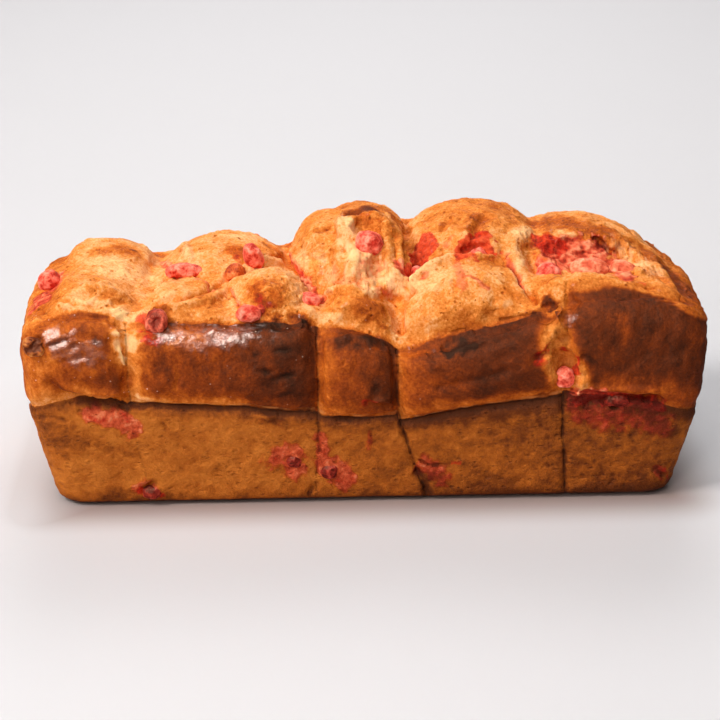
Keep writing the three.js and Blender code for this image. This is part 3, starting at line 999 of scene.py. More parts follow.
# %% Creases, dents, ridges and blisters
# Each is a radius, a height (below 0 is pressed in) and its pixels.
FORMS = [
    # the left lobes
    (5, -1.4, [(158, 252), (152, 273), (148, 290), (139, 303), (128, 314)]),
    (3, -0.9, [(56, 300), (73, 288), (88, 283), (99, 279)]),
    (4, 1.3, [(71, 297), (86, 292), (102, 290), (121, 296)]),
    (3, -1.2, [(66, 302), (84, 304), (104, 305), (124, 301)]),
    (2.2, 0.8, [(57, 262), (60, 276)]),
    (2.5, -0.8, [(113, 284), (117, 288), (121, 291)]),
    (3, 0.9, [(184, 244), (188, 252), (190, 262)]),
    (2.5, -0.8, [(189, 243), (194, 252), (195, 260)]),
    (3, 0.9, [(30, 312), (50, 305), (66, 305)]),
    # the dimpled front lobe
    (3, -1.2, [(149, 292), (163, 284), (176, 277), (191, 275), (202, 281), (212, 288)]),
    (4, -2.0, [(160, 303), (173, 301), (186, 299), (204, 294), (219, 288), (228, 277)]),
    (3, 1.1, [(155, 308), (175, 306), (196, 303), (214, 297), (228, 290)]),
    (3, -1.2, [(245, 260), (256, 257), (270, 257), (287, 259)]),
    (3, -1.7, [(250, 264)]),
    (2.5, -1.4, [(256, 273)]),
    (6, 1.8, [(262, 288), (266, 297)]),
    (2.5, -1.0, [(230, 288), (236, 300), (241, 312)]),
    (4, -1.3, [(276, 258), (285, 262)]),
    # the bun
    (4, -2.0, [(289, 252), (291, 262), (297, 272), (306, 285), (318, 300)]),
    (2, -0.9, [(335, 232), (343, 242), (347, 252), (345, 262)]),
    (4.5, 2.4, [(343, 217), (341, 228), (348, 236), (353, 247), (354, 261), (353, 279)]),
    (4, 2.2, [(385, 228), (390, 242), (389, 254), (392, 266), (400, 275), (414, 285)]),
    (3, -1.8, [(393, 236), (395, 250), (396, 263), (403, 273)]),
    (4, -1.9, [(404, 215), (406, 235), (407, 255), (409, 270), (413, 280)]),
    (4, -2.6, [(346, 216), (356, 212), (366, 211)]),
    (2, -0.8, [(318, 232), (326, 229)]),
    (2.5, -1.6, [(369, 296), (380, 298), (396, 300)]),
    (2.4, 1.0, [(322, 296), (335, 290), (345, 290), (354, 290), (362, 284), (367, 294)]),
    (2, -1.0, [(330, 285), (344, 286), (355, 286), (359, 280)]),
    (7, 1.4, [(340, 304), (356, 303), (372, 308)]),
    # the fish-shaped lobe and what is behind it
    (3, -2.0, [(411, 293), (405, 305), (404, 316), (402, 331)]),
    (4, 1.6, [(415, 285), (423, 277), (441, 266), (455, 261), (471, 261), (492, 259), (501, 264)]),
    (3, -1.6, [(420, 275), (439, 262), (455, 257), (490, 254), (503, 258)]),
    (3, -1.8, [(509, 268), (515, 280), (524, 293), (535, 301)]),
    (4, -2.0, [(473, 234), (477, 225), (486, 217)]),
    (3.5, 1.0, [(466, 236), (470, 225), (478, 216)]),
    (3, -1.8, [(464, 250), (455, 256), (443, 263)]),
    (3, -1.4, [(441, 232), (445, 224), (449, 218)]),
    (2.5, -1.8, [(495, 301)]),
    (2.5, 1.0, [(469, 280), (478, 285), (487, 291)]),
    (2, -1.0, [(454, 280), (456, 290)]),
    (2, -1.0, [(470, 286), (472, 294)]),
    (3, 1.0, [(500, 316), (515, 313), (532, 309)]),
    # the crater and the right end
    (7, 1.8, [(526, 232), (517, 240), (514, 252), (516, 266), (520, 280), (526, 290)]),
    (3, 1.4, [(600, 234), (618, 252), (630, 262), (640, 273)]),
    (2.5, -1.3, [(596, 238), (612, 254), (624, 264), (634, 274)]),
    (3, 0.8, [(612, 232), (628, 247), (645, 266)]),
    (5, 1.2, [(655, 266), (670, 279), (684, 292)]),
    (5, -1.2, [(662, 260), (672, 268), (680, 277)]),
    (3, -1.4, [(645, 256)]),
    (3, -1.2, [(620, 246)]),
    (2.5, -1.2, [(640, 284), (660, 288), (685, 296)]),
    (7, 2.6, [(570, 254), (583, 250), (595, 256)]),
    # the first pillow
    (5.5, -2.0, [(52, 385), (61, 391), (72, 396), (86, 400), (102, 402), (118, 403), (128, 406)]),
    (3, 1.0, [(66, 387), (84, 393), (104, 395), (120, 396)]),
    (3, 0.8, [(42, 344), (55, 339), (66, 334)]),
    (2.5, -0.9, [(52, 346), (58, 344), (64, 341)]),
    (2.5, 0.6, [(50, 351), (57, 348), (64, 346)]),
    (2.2, -1.0, [(73, 348), (77, 346)]),
    (2.5, -0.7, [(66, 322), (68, 330), (76, 336), (88, 338)]),
    (2, -0.8, [(60, 363), (72, 360), (84, 357)]),
    (2, -0.9, [(94, 338), (98, 341)]),
    (3, -1.2, [(111, 341), (118, 343), (122, 349)]),
    (2.2, 1.5, [(122, 350), (123, 358), (126, 368)]),
    (4, 1.2, [(121, 322), (120, 334)]),
    (2, 0.8, [(133, 410), (145, 411)]),
    (3, -1.6, [(34, 349), (38, 342)]),
    # the second pillow
    (4.5, -1.1, [(192, 322), (204, 329), (214, 336), (224, 329), (228, 321)]),
    (5, 0.9, [(212, 327)]),
    (2, 1.1, [(184, 336)]),
    (3.2, -2.0, [(279, 321), (287, 321), (293, 317)]),
    (2, -0.7, [(176, 362), (180, 374), (177, 388)]),
    (2.2, -0.7, [(260, 371), (270, 371)]),
    (2.2, -0.7, [(272, 380), (282, 378), (294, 376)]),
    (2, -0.6, [(276, 351), (290, 352)]),
    (2, 1.2, [(260, 414), (268, 417), (275, 415)]),
    # the third and the fourth pillow
    (4, -1.5, [(355, 337), (368, 341), (384, 341)]),
    (2, 0.9, [(341, 360)]),
    (2, -1.0, [(376, 390)]),
    (3.4, -1.8, [(370, 404), (378, 407), (388, 408)]),
    (1.8, 1.2, [(374, 402), (384, 401), (392, 408)]),
    (2, -1.6, [(341, 420), (350, 421)]),
    (3, -1.4, [(448, 344), (458, 339), (468, 337)]),
    (1.8, 0.8, [(424, 350), (430, 359), (437, 366)]),
    (3, -0.9, [(470, 352), (490, 346), (512, 338)]),
    (3, -0.8, [(440, 388), (470, 381), (505, 372)]),
    # the torn gap and the fifth pillow
    (4, -3.6, [(544, 314), (547, 305)]),
    (3, 1.6, [(553, 333)]),
    (3.4, 1.2, [(556, 305), (560, 318), (566, 332)]),
    (3, -2.2, [(540, 357), (549, 350), (556, 345), (563, 340)]),
    (3, -2.0, [(569, 357), (574, 368)]),
    (2.2, 1.6, [(575, 396), (580, 388), (583, 380)]),
    (3.4, -2.4, [(645, 397), (652, 396), (658, 400)]),
    (2.4, -2.0, [(614, 407), (616, 403)]),
    (3, 1.3, [(586, 388), (610, 390), (636, 390), (654, 392)]),
    (2, -1.4, [(585, 403), (600, 400), (620, 401), (636, 398)]),
    (2, -0.9, [(585, 357)]),
    # the moulded front
    (1.8, -0.9, [(28, 419), (42, 417), (56, 418), (66, 421)]),
    (3, -2.0, [(146, 489), (153, 484)]),
    (1.4, -1.1, [(420, 461), (430, 466), (446, 465)]),
    (2.4, -1.6, [(418, 474), (425, 485), (427, 494)]),
    (2, -1.2, [(310, 494), (312, 488)]),
    (1.6, -0.9, [(163, 424), (167, 430)]),
    (2.6, -1.2, [(656, 470), (664, 476)]),
]

# %% Folds, where one piece of skin lies over another
# Each is a radius, a height and its pixels. The skin to the right of the way that the line runs is the upper.
FOLDS = [
    (7, 1.5, [(58, 294), (75, 289), (95, 288), (115, 294), (133, 299)]),
    (7, 1.8, [(146, 302), (155, 292), (164, 284), (178, 276), (194, 276), (206, 284), (212, 292)]),
    (6, 1.8, [(160, 305), (173, 302), (186, 299), (204, 294), (219, 288), (228, 277)]),
    (5, 1.3, [(241, 312), (236, 300), (230, 288), (232, 276), (240, 267)]),
    (6, 1.4, [(240, 267), (252, 259), (270, 258), (286, 264)]),
    (6, 2.0, [(318, 300), (306, 285), (297, 272), (291, 262), (289, 251)]),
    (6, 1.6, [(320, 301), (334, 290), (350, 287), (366, 292)]),
    (
        7,
        2.4,
        [(407, 293), (415, 285), (423, 277), (441, 266), (455, 261), (471, 261), (492, 259), (508, 267)],
    ),
    (6, 2.0, [(508, 267), (515, 280), (524, 293), (535, 301)]),
    (6, 2.0, [(402, 331), (404, 316), (405, 305), (411, 293)]),
    (6, 1.6, [(530, 296), (548, 284), (575, 278), (600, 277), (630, 282)]),
    (7, 1.8, [(128, 406), (118, 403), (102, 402), (86, 400), (72, 396), (61, 391), (50, 384)]),
    (5, 1.2, [(563, 341), (556, 345), (549, 350), (538, 358)]),
]


FOOT_GROOVE = 0.4  # the depth of the groove beside a fold's foot, as a share of the fold's height
STEP_REACH = 0.6  # half the width of the step from the foot to the upper edge


def fold_height(points, radius, pixels):
    """From 1 on the upper edge of a fold to 0 at the radius, and a little below 0 beside its foot."""
    line, pixel_line = traced(pixels)
    course = np.gradient(pixel_line, axis=0)
    height = np.zeros(len(points))
    inside, gaps = gaps_to(points, line, radius)
    nearest = gaps.argmin(axis=1)
    gap = gaps.min(axis=1)
    offset = pixel_of(points[inside]) - pixel_line[nearest]
    side = np.sign(course[nearest, 0] * offset[:, 1] - course[nearest, 1] * offset[:, 0])
    ends = 1 - np.abs(2 * nearest / (len(line) - 1) - 1) ** 4
    upper = ease(0, 1, np.clip(1 - gap / radius, 0, 1))
    lower = -FOOT_GROOVE * ease(0, 1, np.clip(1 - 2 * gap / radius, 0, 1))
    step = ease(-STEP_REACH, STEP_REACH, side * gap)
    height[inside] = ends * (upper * step + lower * (1 - step))
    return height


# %% Press in the forms and the folds
points = points_of(dough)
normals = outward(dough)
push = np.zeros(len(points))
for radius, height, pixels in FORMS:
    line, _ = traced(pixels)
    for part in (line, behind(line)):
        if len(part):
            push += height * ease(0, 1, closeness(points, part, radius))
for radius, height, pixels in FOLDS:
    push += height * fold_height(points, radius, pixels)
move_points(dough, points + normals * push[:, None])
print("forms:", len(FORMS), " folds:", len(FOLDS), " deepest", round(float(push.min()), 1), "mm")

# %% Zone of each point
points = points_of(dough)
normals = outward(dough)
x, y, z = points.T
wall, band, top = zones(points)
torn = torn_share(points)
for name, zone in (("wall", wall), ("band", band), ("top", top), ("torn", torn)):
    print("share of the points,", name, round(float(zone.mean()), 2))

# %% [markdown]
# ## Fine relief
# Nothing on a crust is quite smooth. The top has broad swells, wrinkles and small pores, the torn crumb is
# rough and stringy, the pillows have fine wrinkles, and the wall has short pits where it met the mould. The
# lip is a thin raised edge with a groove under it, the pillows round off towards the seams, and the foot's
# edge is round, so that a thin dark shadow lies under it.

# %% Where butter and melted sugar made the skin shine
# Each is a radius and its pixels.
EDGE_REACH = 1.3  # the soft edge of a mark or a shine reaches this many times its radius
GLOSSY = [
    (7, [(48, 336), (62, 344), (74, 353), (92, 355)]),
    (8.6, [(165, 329), (190, 333), (215, 332), (245, 327)]),
    (4, [(326, 327), (340, 330), (352, 332)]),
    (3.4, [(421, 345), (432, 344)]),
    (2.4, [(443, 339), (449, 337)]),
    (4, [(562, 298), (565, 310), (569, 322)]),
]
shiny = np.zeros(len(points))
for radius, pixels in GLOSSY:
    line, _ = traced(pixels)
    shiny = np.maximum(shiny, ease(0, 0.7, closeness(points, line, EDGE_REACH * radius)))
print("shiny points:", int((shiny > 0).sum()))

# %% The relief of top, torn crumb, band and wall
# Each height and each size of its hills or spots is in millimetres.
smooth_top = top * (1 - torn)
relief = np.zeros(len(points))
relief += smooth_top * (1.0 * hills(points, 26, seed=1) + 0.4 * hills(points, 8, seed=2, octaves=3))
folded = 1 - np.abs(hills(points * (1, 1.4, 1), 13, seed=15, octaves=2))
relief += smooth_top * 0.7 * ease(0.75, 1, folded)
stringy = 1 - np.abs(hills(points * (0.5, 0.5, 1.6), 5, seed=16, octaves=2))
relief += torn * (0.9 * hills(points, 5, seed=4, octaves=3) + 0.7 * ease(0.6, 1, stringy))
relief += band * 0.6 * hills(points * (1, 1, 1.6), 16, seed=6)
relief += band * (0.45 - 0.3 * shiny) * hills(points * (1, 1, 0.8), 5, seed=8, octaves=3)
relief += shiny * band * 0.15 * hills(points * (1, 1, 1.4), 5, seed=22, octaves=3)
relief += wall * (0.5 * hills(points, 14, seed=9) + 0.35 * hills(points, 4, seed=10, octaves=3))

# %% Pores, dimples and the wall's pits
pores = pocks(points, 5, 0.6, seed=11)
relief -= smooth_top * 0.8 * (1 - ease(0.2, 1.3, pores))
dimples = pocks(points * (1, 1, 1.5), 11, 0.6, seed=13)
relief -= smooth_top * 0.7 * (1 - ease(0.4, 3.4, dimples))
pits = pocks(points * (1, 1, 0.6), 4, 0.4, seed=12)
relief -= wall * 0.6 * (1 - ease(0.2, 1.2, pits))
print("deepest pit or hollow:", round(float(relief.min()), 1), "mm")


# %% The lip and the rounded shoulder
EDGE_HEIGHT = 0.9
GROOVE_DEPTH = 1.7
EDGE_OFFSET = 1.2  # how far the raised edge lies above the lip's line, and the groove below it
EDGE_WIDTH = 1.3
SHOULDER_DROP = 4.2  # how much is taken off at the shoulder's corner
LIP_DROP = 1.2  # how much is taken off just above the lip


def near_outside(points, side, end):
    """0 in the loaf's middle and 1 near its skin: side and end say where that starts and is reached."""
    return np.clip(ease(*side, np.abs(points[:, 1])) + ease(*end, np.abs(points[:, 0])), 0, 1)


above_lip, above_shoulder, beside_seam = line_gaps(points)
crisp = along_pieces(x, "crisp")
outer = near_outside(points, (30, 44), (112, 126))
raised_edge = EDGE_HEIGHT * bell(above_lip - EDGE_OFFSET, EDGE_WIDTH)
groove = GROOVE_DEPTH * bell(above_lip + EDGE_OFFSET, EDGE_WIDTH)
relief += crisp * outer * (raised_edge - groove)
corner = above_corner(points)
rim = near_outside(points, (43, 50), (120, 130))
rounded = rim * np.clip(1 + corner / 17, 0, 1) ** 2 * (1 - ease(0, 12, corner))
near_lip = (1 - ease(0, 10, above_lip)) ** 2
relief -= outer * (1 - wall) * (SHOULDER_DROP * rounded + LIP_DROP * near_lip)

# %% The seams between the pieces
CUT_DEPTH = 2.0
CUT_WIDTH = 1.4
SEAM_DROP = 1.8  # how far the pillows round off towards a seam
SEAM_DROP_WIDTH = 7
side = ease(36, 44, np.abs(y))
cut = CUT_DEPTH * along_seams(x, "split") * bell(beside_seam, CUT_WIDTH)
rounding = SEAM_DROP * bell(beside_seam, SEAM_DROP_WIDTH)
relief -= side * band * (cut + rounding)
broken = along_seams(x, "open") * ease(-0.6, 0.2, hills(points, 5, seed=19))
relief -= side * wall * broken * (1.3 * bell(beside_seam, 1) + 0.4 * bell(beside_seam, 3))
relief -= rim * top * side * (1 - ease(0, 14, corner)) * 1.2 * bell(beside_seam, 4)

# %% The foot's round edge, and press it all in
FOOT_DROP = 2.4  # how much is taken off at the foot's edge
FOOT_DROP_HEIGHT = 3.2
relief *= 0.2 + 0.8 * ease(0, 6, z)
relief -= FOOT_DROP * (1 - ease(0, FOOT_DROP_HEIGHT, z)) ** 2 * (1 - np.abs(normals[:, 2]))
move_points(dough, points + normals * relief[:, None])
print("relief from", round(float(relief.min()), 1), "to", round(float(relief.max()), 1), "mm")

# %% [markdown]
# The loaf may not grow past the box of its CAD model, so the few points outside are set back to it. Decimate
# then thins the net, most where it is flat, and a vertex group tells it to spare the front and the top.

# %% Keep the loaf inside its box and thin the net
MOST_TRIANGLES = 196000
SPARED = 0.45  # how much the front and the top are thinned, where the hidden sides count as 1
box_low, box_high = (np.array(corner) / MM for corner in cad_box)
points = np.clip(points_of(dough), box_low, box_high)
move_points(dough, points)
choose(dough)
hidden = dough.vertex_groups.new(name="hidden sides")
is_hidden = (points[:, 1] > 30) & (points[:, 2] < 88) | (points[:, 2] < 1)
hidden.add([int(i) for i in np.flatnonzero(is_hidden)], 1, "REPLACE")
hidden.add([int(i) for i in np.flatnonzero(~is_hidden)], SPARED, "REPLACE")
apply_modifier(dough, "TRIANGULATE")
apply_modifier(
    dough,
    "DECIMATE",
    ratio=min(1, MOST_TRIANGLES / len(dough.data.polygons)),
    vertex_group="hidden sides",
)
choose(dough)
bpy.ops.object.vertex_group_remove(all=True)
bpy.ops.object.shade_smooth()
print("brioche:", len(dough.data.polygons), "triangles")

# %% [markdown]
# ## The crust
# The colour of a crust is mostly one thing: how far it is baked. So a number from 0, pale and golden, to 1,
# nearly black, is kept at each point, and a colour ramp turns it into colour. Wall, band and top have their
# own, and the distances from lip, shoulder and seam let the shader draw the sharp edges between them.

# %% How far each zone is baked
points = points_of(dough)
normals = outward(dough)
x, y, z = points.T
above_lip, above_shoulder, beside_seam = line_gaps(points)
torn = torn_share(points)
patchy = hills(points, 22, seed=31, octaves=3)
blotchy = hills(points, 7, seed=32, octaves=3)

band_bake = np.zeros(len(points))
for piece in PIECES:
    here = (x >= piece["from"]) | (piece is PIECES[0])
    share = np.clip((x[here] - piece["from"]) / (piece["to"] - piece["from"]), 0, 1)
    band_bake[here] = np.interp(share, (0, 0.15, 0.5, 0.85, 1), piece["bake"])
height_share = above_lip / (above_lip - above_shoulder)
band_bake += 0.05 * patchy + 0.05 * blotchy
# paler above the lip, and darkest just under the shoulder of the first four pieces
band_bake -= 0.13 * (1 - ease(0, 0.3, height_share))
band_bake += 0.08 * ease(-7, -1, above_shoulder) * ease(0.5, 0.6, band_bake) * (1 - ease(70, 90, x))

# darker to the right, and near the foot and at its very edge, partly browned and partly painted shade where
# it meets the floor, and painted shadow under the lip's overhang
wall_bake = 0.34 + 0.36 * ease(-80, 130, x) + 0.1 * patchy + 0.07 * blotchy
wall_bake += 0.3 * (1 - ease(0, 9, z)) + 0.6 * (1 - ease(0.3, 2.2, z))
wall_bake += 0.42 * (1 - ease(1, 9, -above_lip))

# darker on the highest lobes, at the rear, at the two ends and near the shoulder
top_bake = 0.24 + 0.09 * patchy + 0.06 * blotchy + 0.08 * ease(98, 112, z) + 0.1 * ease(20, 56, y)
top_bake += 0.04 * ease(-20, 40, x) * (1 - ease(-30, 0, y)) + 0.12 * ease(112, 136, np.abs(x))
top_bake += 0.2 * (1 - ease(0, 7, above_shoulder)) * (1 - 0.5 * on_last_piece(x))
for name, bake in (("band", band_bake), ("wall", wall_bake), ("top", top_bake)):
    print("baked,", name, round(float(bake.mean()), 2))

# %% [markdown]
# Then come the places that the photograph shows darker or paler than that, most of them the crust's own tone
# and a few painted shade or a painted highlight, and the stains of the sugar. Noise breaks up their edges.


# %% Marks with ragged edges
smudge = hills(points, 4, seed=34, octaves=3)


def marked(points, pixels, radius, roughness=0.35):
    """How strongly a mark with ragged edges lies on each point, from 0 to 1."""
    line, _ = traced(pixels)
    near = np.zeros(len(points))
    for part in (line, behind(line)):
        if len(part):
            near = np.maximum(near, closeness(points, part, EDGE_REACH * radius))
    inside = near > 0
    near[inside] += roughness * smudge[inside]
    return ease(0.1, 0.75, near) * inside


# %% Places that are darker or paler
# A radius in millimetres, how much darker (or paler, below 0), and the pixels. Most are the crust's own tone;
# the rows marked below are painted shade or a painted highlight.
SHADES = [
    # browned spots of the top, and painted shade in two of its recesses
    (6, 0.14, [(102, 252), (116, 250), (130, 254)]),
    (1.6, 0.3, [(131, 251), (133, 252)]),
    (5, 0.12, [(98, 292), (108, 295)]),
    (4, 0.16, [(270, 247), (276, 252)]),
    (5, 0.2, [(239, 252), (233, 247)]),
    (8, 0.16, [(262, 288), (268, 300)]),
    (3, 0.2, [(259, 290), (263, 296), (267, 303)]),
    (8, 0.03, [(185, 303), (205, 301)]),
    (3, 0.06, [(160, 303), (173, 301), (186, 299), (204, 294), (219, 288)]),
    # painted shade in the recess under the bun's arch
    (4.5, 0.32, [(349, 214), (358, 210), (368, 208)]),
    (5, 0.16, [(374, 208), (386, 212), (396, 222)]),
    (6, 0.16, [(362, 221), (376, 220), (386, 226)]),
    (3, 0.2, [(318, 231), (326, 229)]),
    (8, 0.12, [(335, 300), (355, 304), (372, 310)]),
    (6, 0.08, [(368, 305), (380, 312), (386, 320)]),
    (6, 0.1, [(455, 312), (480, 318), (505, 312)]),
    (12, 0.08, [(440, 216), (470, 218), (500, 216)]),
    (7, 0.16, [(474, 226), (482, 218)]),
    (2, 0.22, [(441, 228), (444, 222)]),
    (4, 0.12, [(404, 215), (406, 235), (407, 255)]),
    (10, 0.22, [(545, 222), (580, 226), (610, 238)]),
    # painted shade in the crater's dark hollow
    (5, 0.2, [(540, 240), (550, 246), (560, 249)]),
    (10, 0.2, [(650, 256), (666, 264), (684, 280)]),
    (3, 0.12, [(664, 262), (676, 272)]),
    (4, 0.06, [(610, 289), (650, 294), (690, 303)]),
    (6, 0.08, [(538, 284), (552, 283), (566, 283)]),
    # pale stretched skin
    (8, -0.08, [(110, 272), (128, 282), (143, 292)]),
    (6, -0.1, [(345, 225), (350, 240), (354, 262), (352, 280)]),
    (6, -0.1, [(300, 262), (322, 262), (330, 275)]),
    (9, -0.16, [(364, 256), (369, 272), (368, 286)]),
    (7, -0.1, [(388, 268), (398, 284)]),
    (5, -0.08, [(523, 232), (514, 246), (517, 268), (526, 290)]),
    (8, -0.06, [(420, 290), (440, 275), (470, 268)]),
    # the first pillow
    (8, -0.26, [(120, 316), (123, 330), (124, 342)]),
    (3, -0.3, [(121, 324), (118, 336), (124, 362)]),
    (4, -0.1, [(130, 345), (133, 370), (135, 395)]),
    (8, -0.08, [(38, 360), (38, 385), (36, 405)]),
    (6, -0.06, [(60, 405), (80, 405), (110, 408)]),
    (3, 0.16, [(52, 385), (61, 391), (72, 396), (86, 400)]),
    (4, 0.16, [(35, 346), (38, 350)]),
    (5, 0.1, [(108, 378), (116, 388)]),
    (2, 0.2, [(95, 340), (99, 342)]),
    (2, 0.14, [(50, 346), (58, 344), (66, 341)]),
    # the second pillow
    (4, 0.3, [(158, 310), (167, 318), (167, 330), (160, 339)]),
    # painted highlight on the golden skin near the shoulder
    (7, -0.22, [(166, 336), (180, 334), (192, 330)]),
    (5, -0.08, [(205, 326), (232, 326)]),
    (4.6, 0.38, [(258, 319), (280, 317), (305, 317)]),
    (4, -0.14, [(140, 403), (180, 404), (240, 405)]),
    (3.4, 0.3, [(279, 321), (287, 321), (293, 317)]),
    (1.6, 0.16, [(262, 371), (268, 372)]),
    (1.6, 0.16, [(274, 380), (282, 377)]),
    (1.6, 0.16, [(286, 377), (293, 375)]),
    (1.5, 0.16, [(276, 351), (288, 350)]),
    (1.5, 0.16, [(288, 393), (280, 396)]),
    (1.5, 0.14, [(255, 355), (259, 353)]),
    (2, 0.08, [(163, 356), (166, 372), (164, 390)]),
    (2, -0.06, [(176, 352), (177, 370), (176, 388)]),
    # the third and the fourth pillow
    (3, -0.08, [(319, 330), (320, 360), (322, 395)]),
    (5.6, 0.3, [(340, 339), (360, 336), (384, 335)]),
    (3, 0.14, [(376, 390), (378, 382)]),
    (4, -0.14, [(430, 334), (450, 333), (468, 329)]),
    (4.4, 0.7, [(450, 346), (459, 342), (467, 340)]),
    (5, 0.08, [(415, 358), (430, 362)]),
    (4, -0.18, [(440, 406), (480, 403), (530, 396)]),
    (6, 0.06, [(480, 350), (505, 345), (525, 335)]),
    # painted shadow under the lip
    (2, 0.14, [(416, 420), (430, 418), (450, 415), (475, 413)]),
    # the torn gap and the fifth pillow
    (4, -0.08, [(553, 330), (563, 318), (562, 305)]),
    # painted shade in the hole of the torn gap
    (4.4, 0.5, [(547, 308), (550, 301)]),
    (4, -0.06, [(578, 378), (583, 390)]),
    (7, -0.14, [(612, 382), (636, 384), (660, 387)]),
    (2.4, -0.1, [(622, 318), (624, 330), (625, 342)]),
    (2, 0.16, [(585, 357), (592, 362)]),
    (5, 0.12, [(578, 312), (580, 335), (586, 355)]),
    # painted shade in the two holes of the red tear
    (2.4, 0.5, [(645, 397), (652, 396), (658, 400)]),
    (2, 0.5, [(614, 407)]),
    # the moulded front
    (9, 0.26, [(45, 428), (60, 436), (74, 442)]),
    (3.4, 0.16, [(122, 448), (133, 452)]),
    (3, 0.16, [(98, 444), (110, 450)]),
    (5, 0.12, [(467, 478), (482, 478)]),
    (5, 0.16, [(428, 472), (438, 478)]),
    (6, 0.14, [(655, 425), (672, 432)]),
    # painted shadow under the lip
    (6, 0.08, [(425, 420), (450, 418), (480, 418), (520, 415)]),
    (3, 0.16, [(268, 418), (282, 424)]),
    (9, -0.08, [(150, 418), (170, 422)]),
    (10, -0.15, [(500, 462), (530, 472)]),
    (9, -0.1, [(590, 455), (612, 462)]),
    (8, -0.14, [(680, 440), (676, 470)]),
    (3, 0.12, [(450, 463), (466, 463)]),
    (3.5, 0.3, [(424, 480), (427, 492)]),
    (5, 0.2, [(115, 494), (140, 496), (165, 496)]),
]
shade = np.zeros(len(points))
for radius, amount, pixels in SHADES:
    shade += amount * marked(points, pixels, radius)
print("shades:", len(SHADES), " from", round(float(shade.min()), 2), "to", round(float(shade.max()), 2))

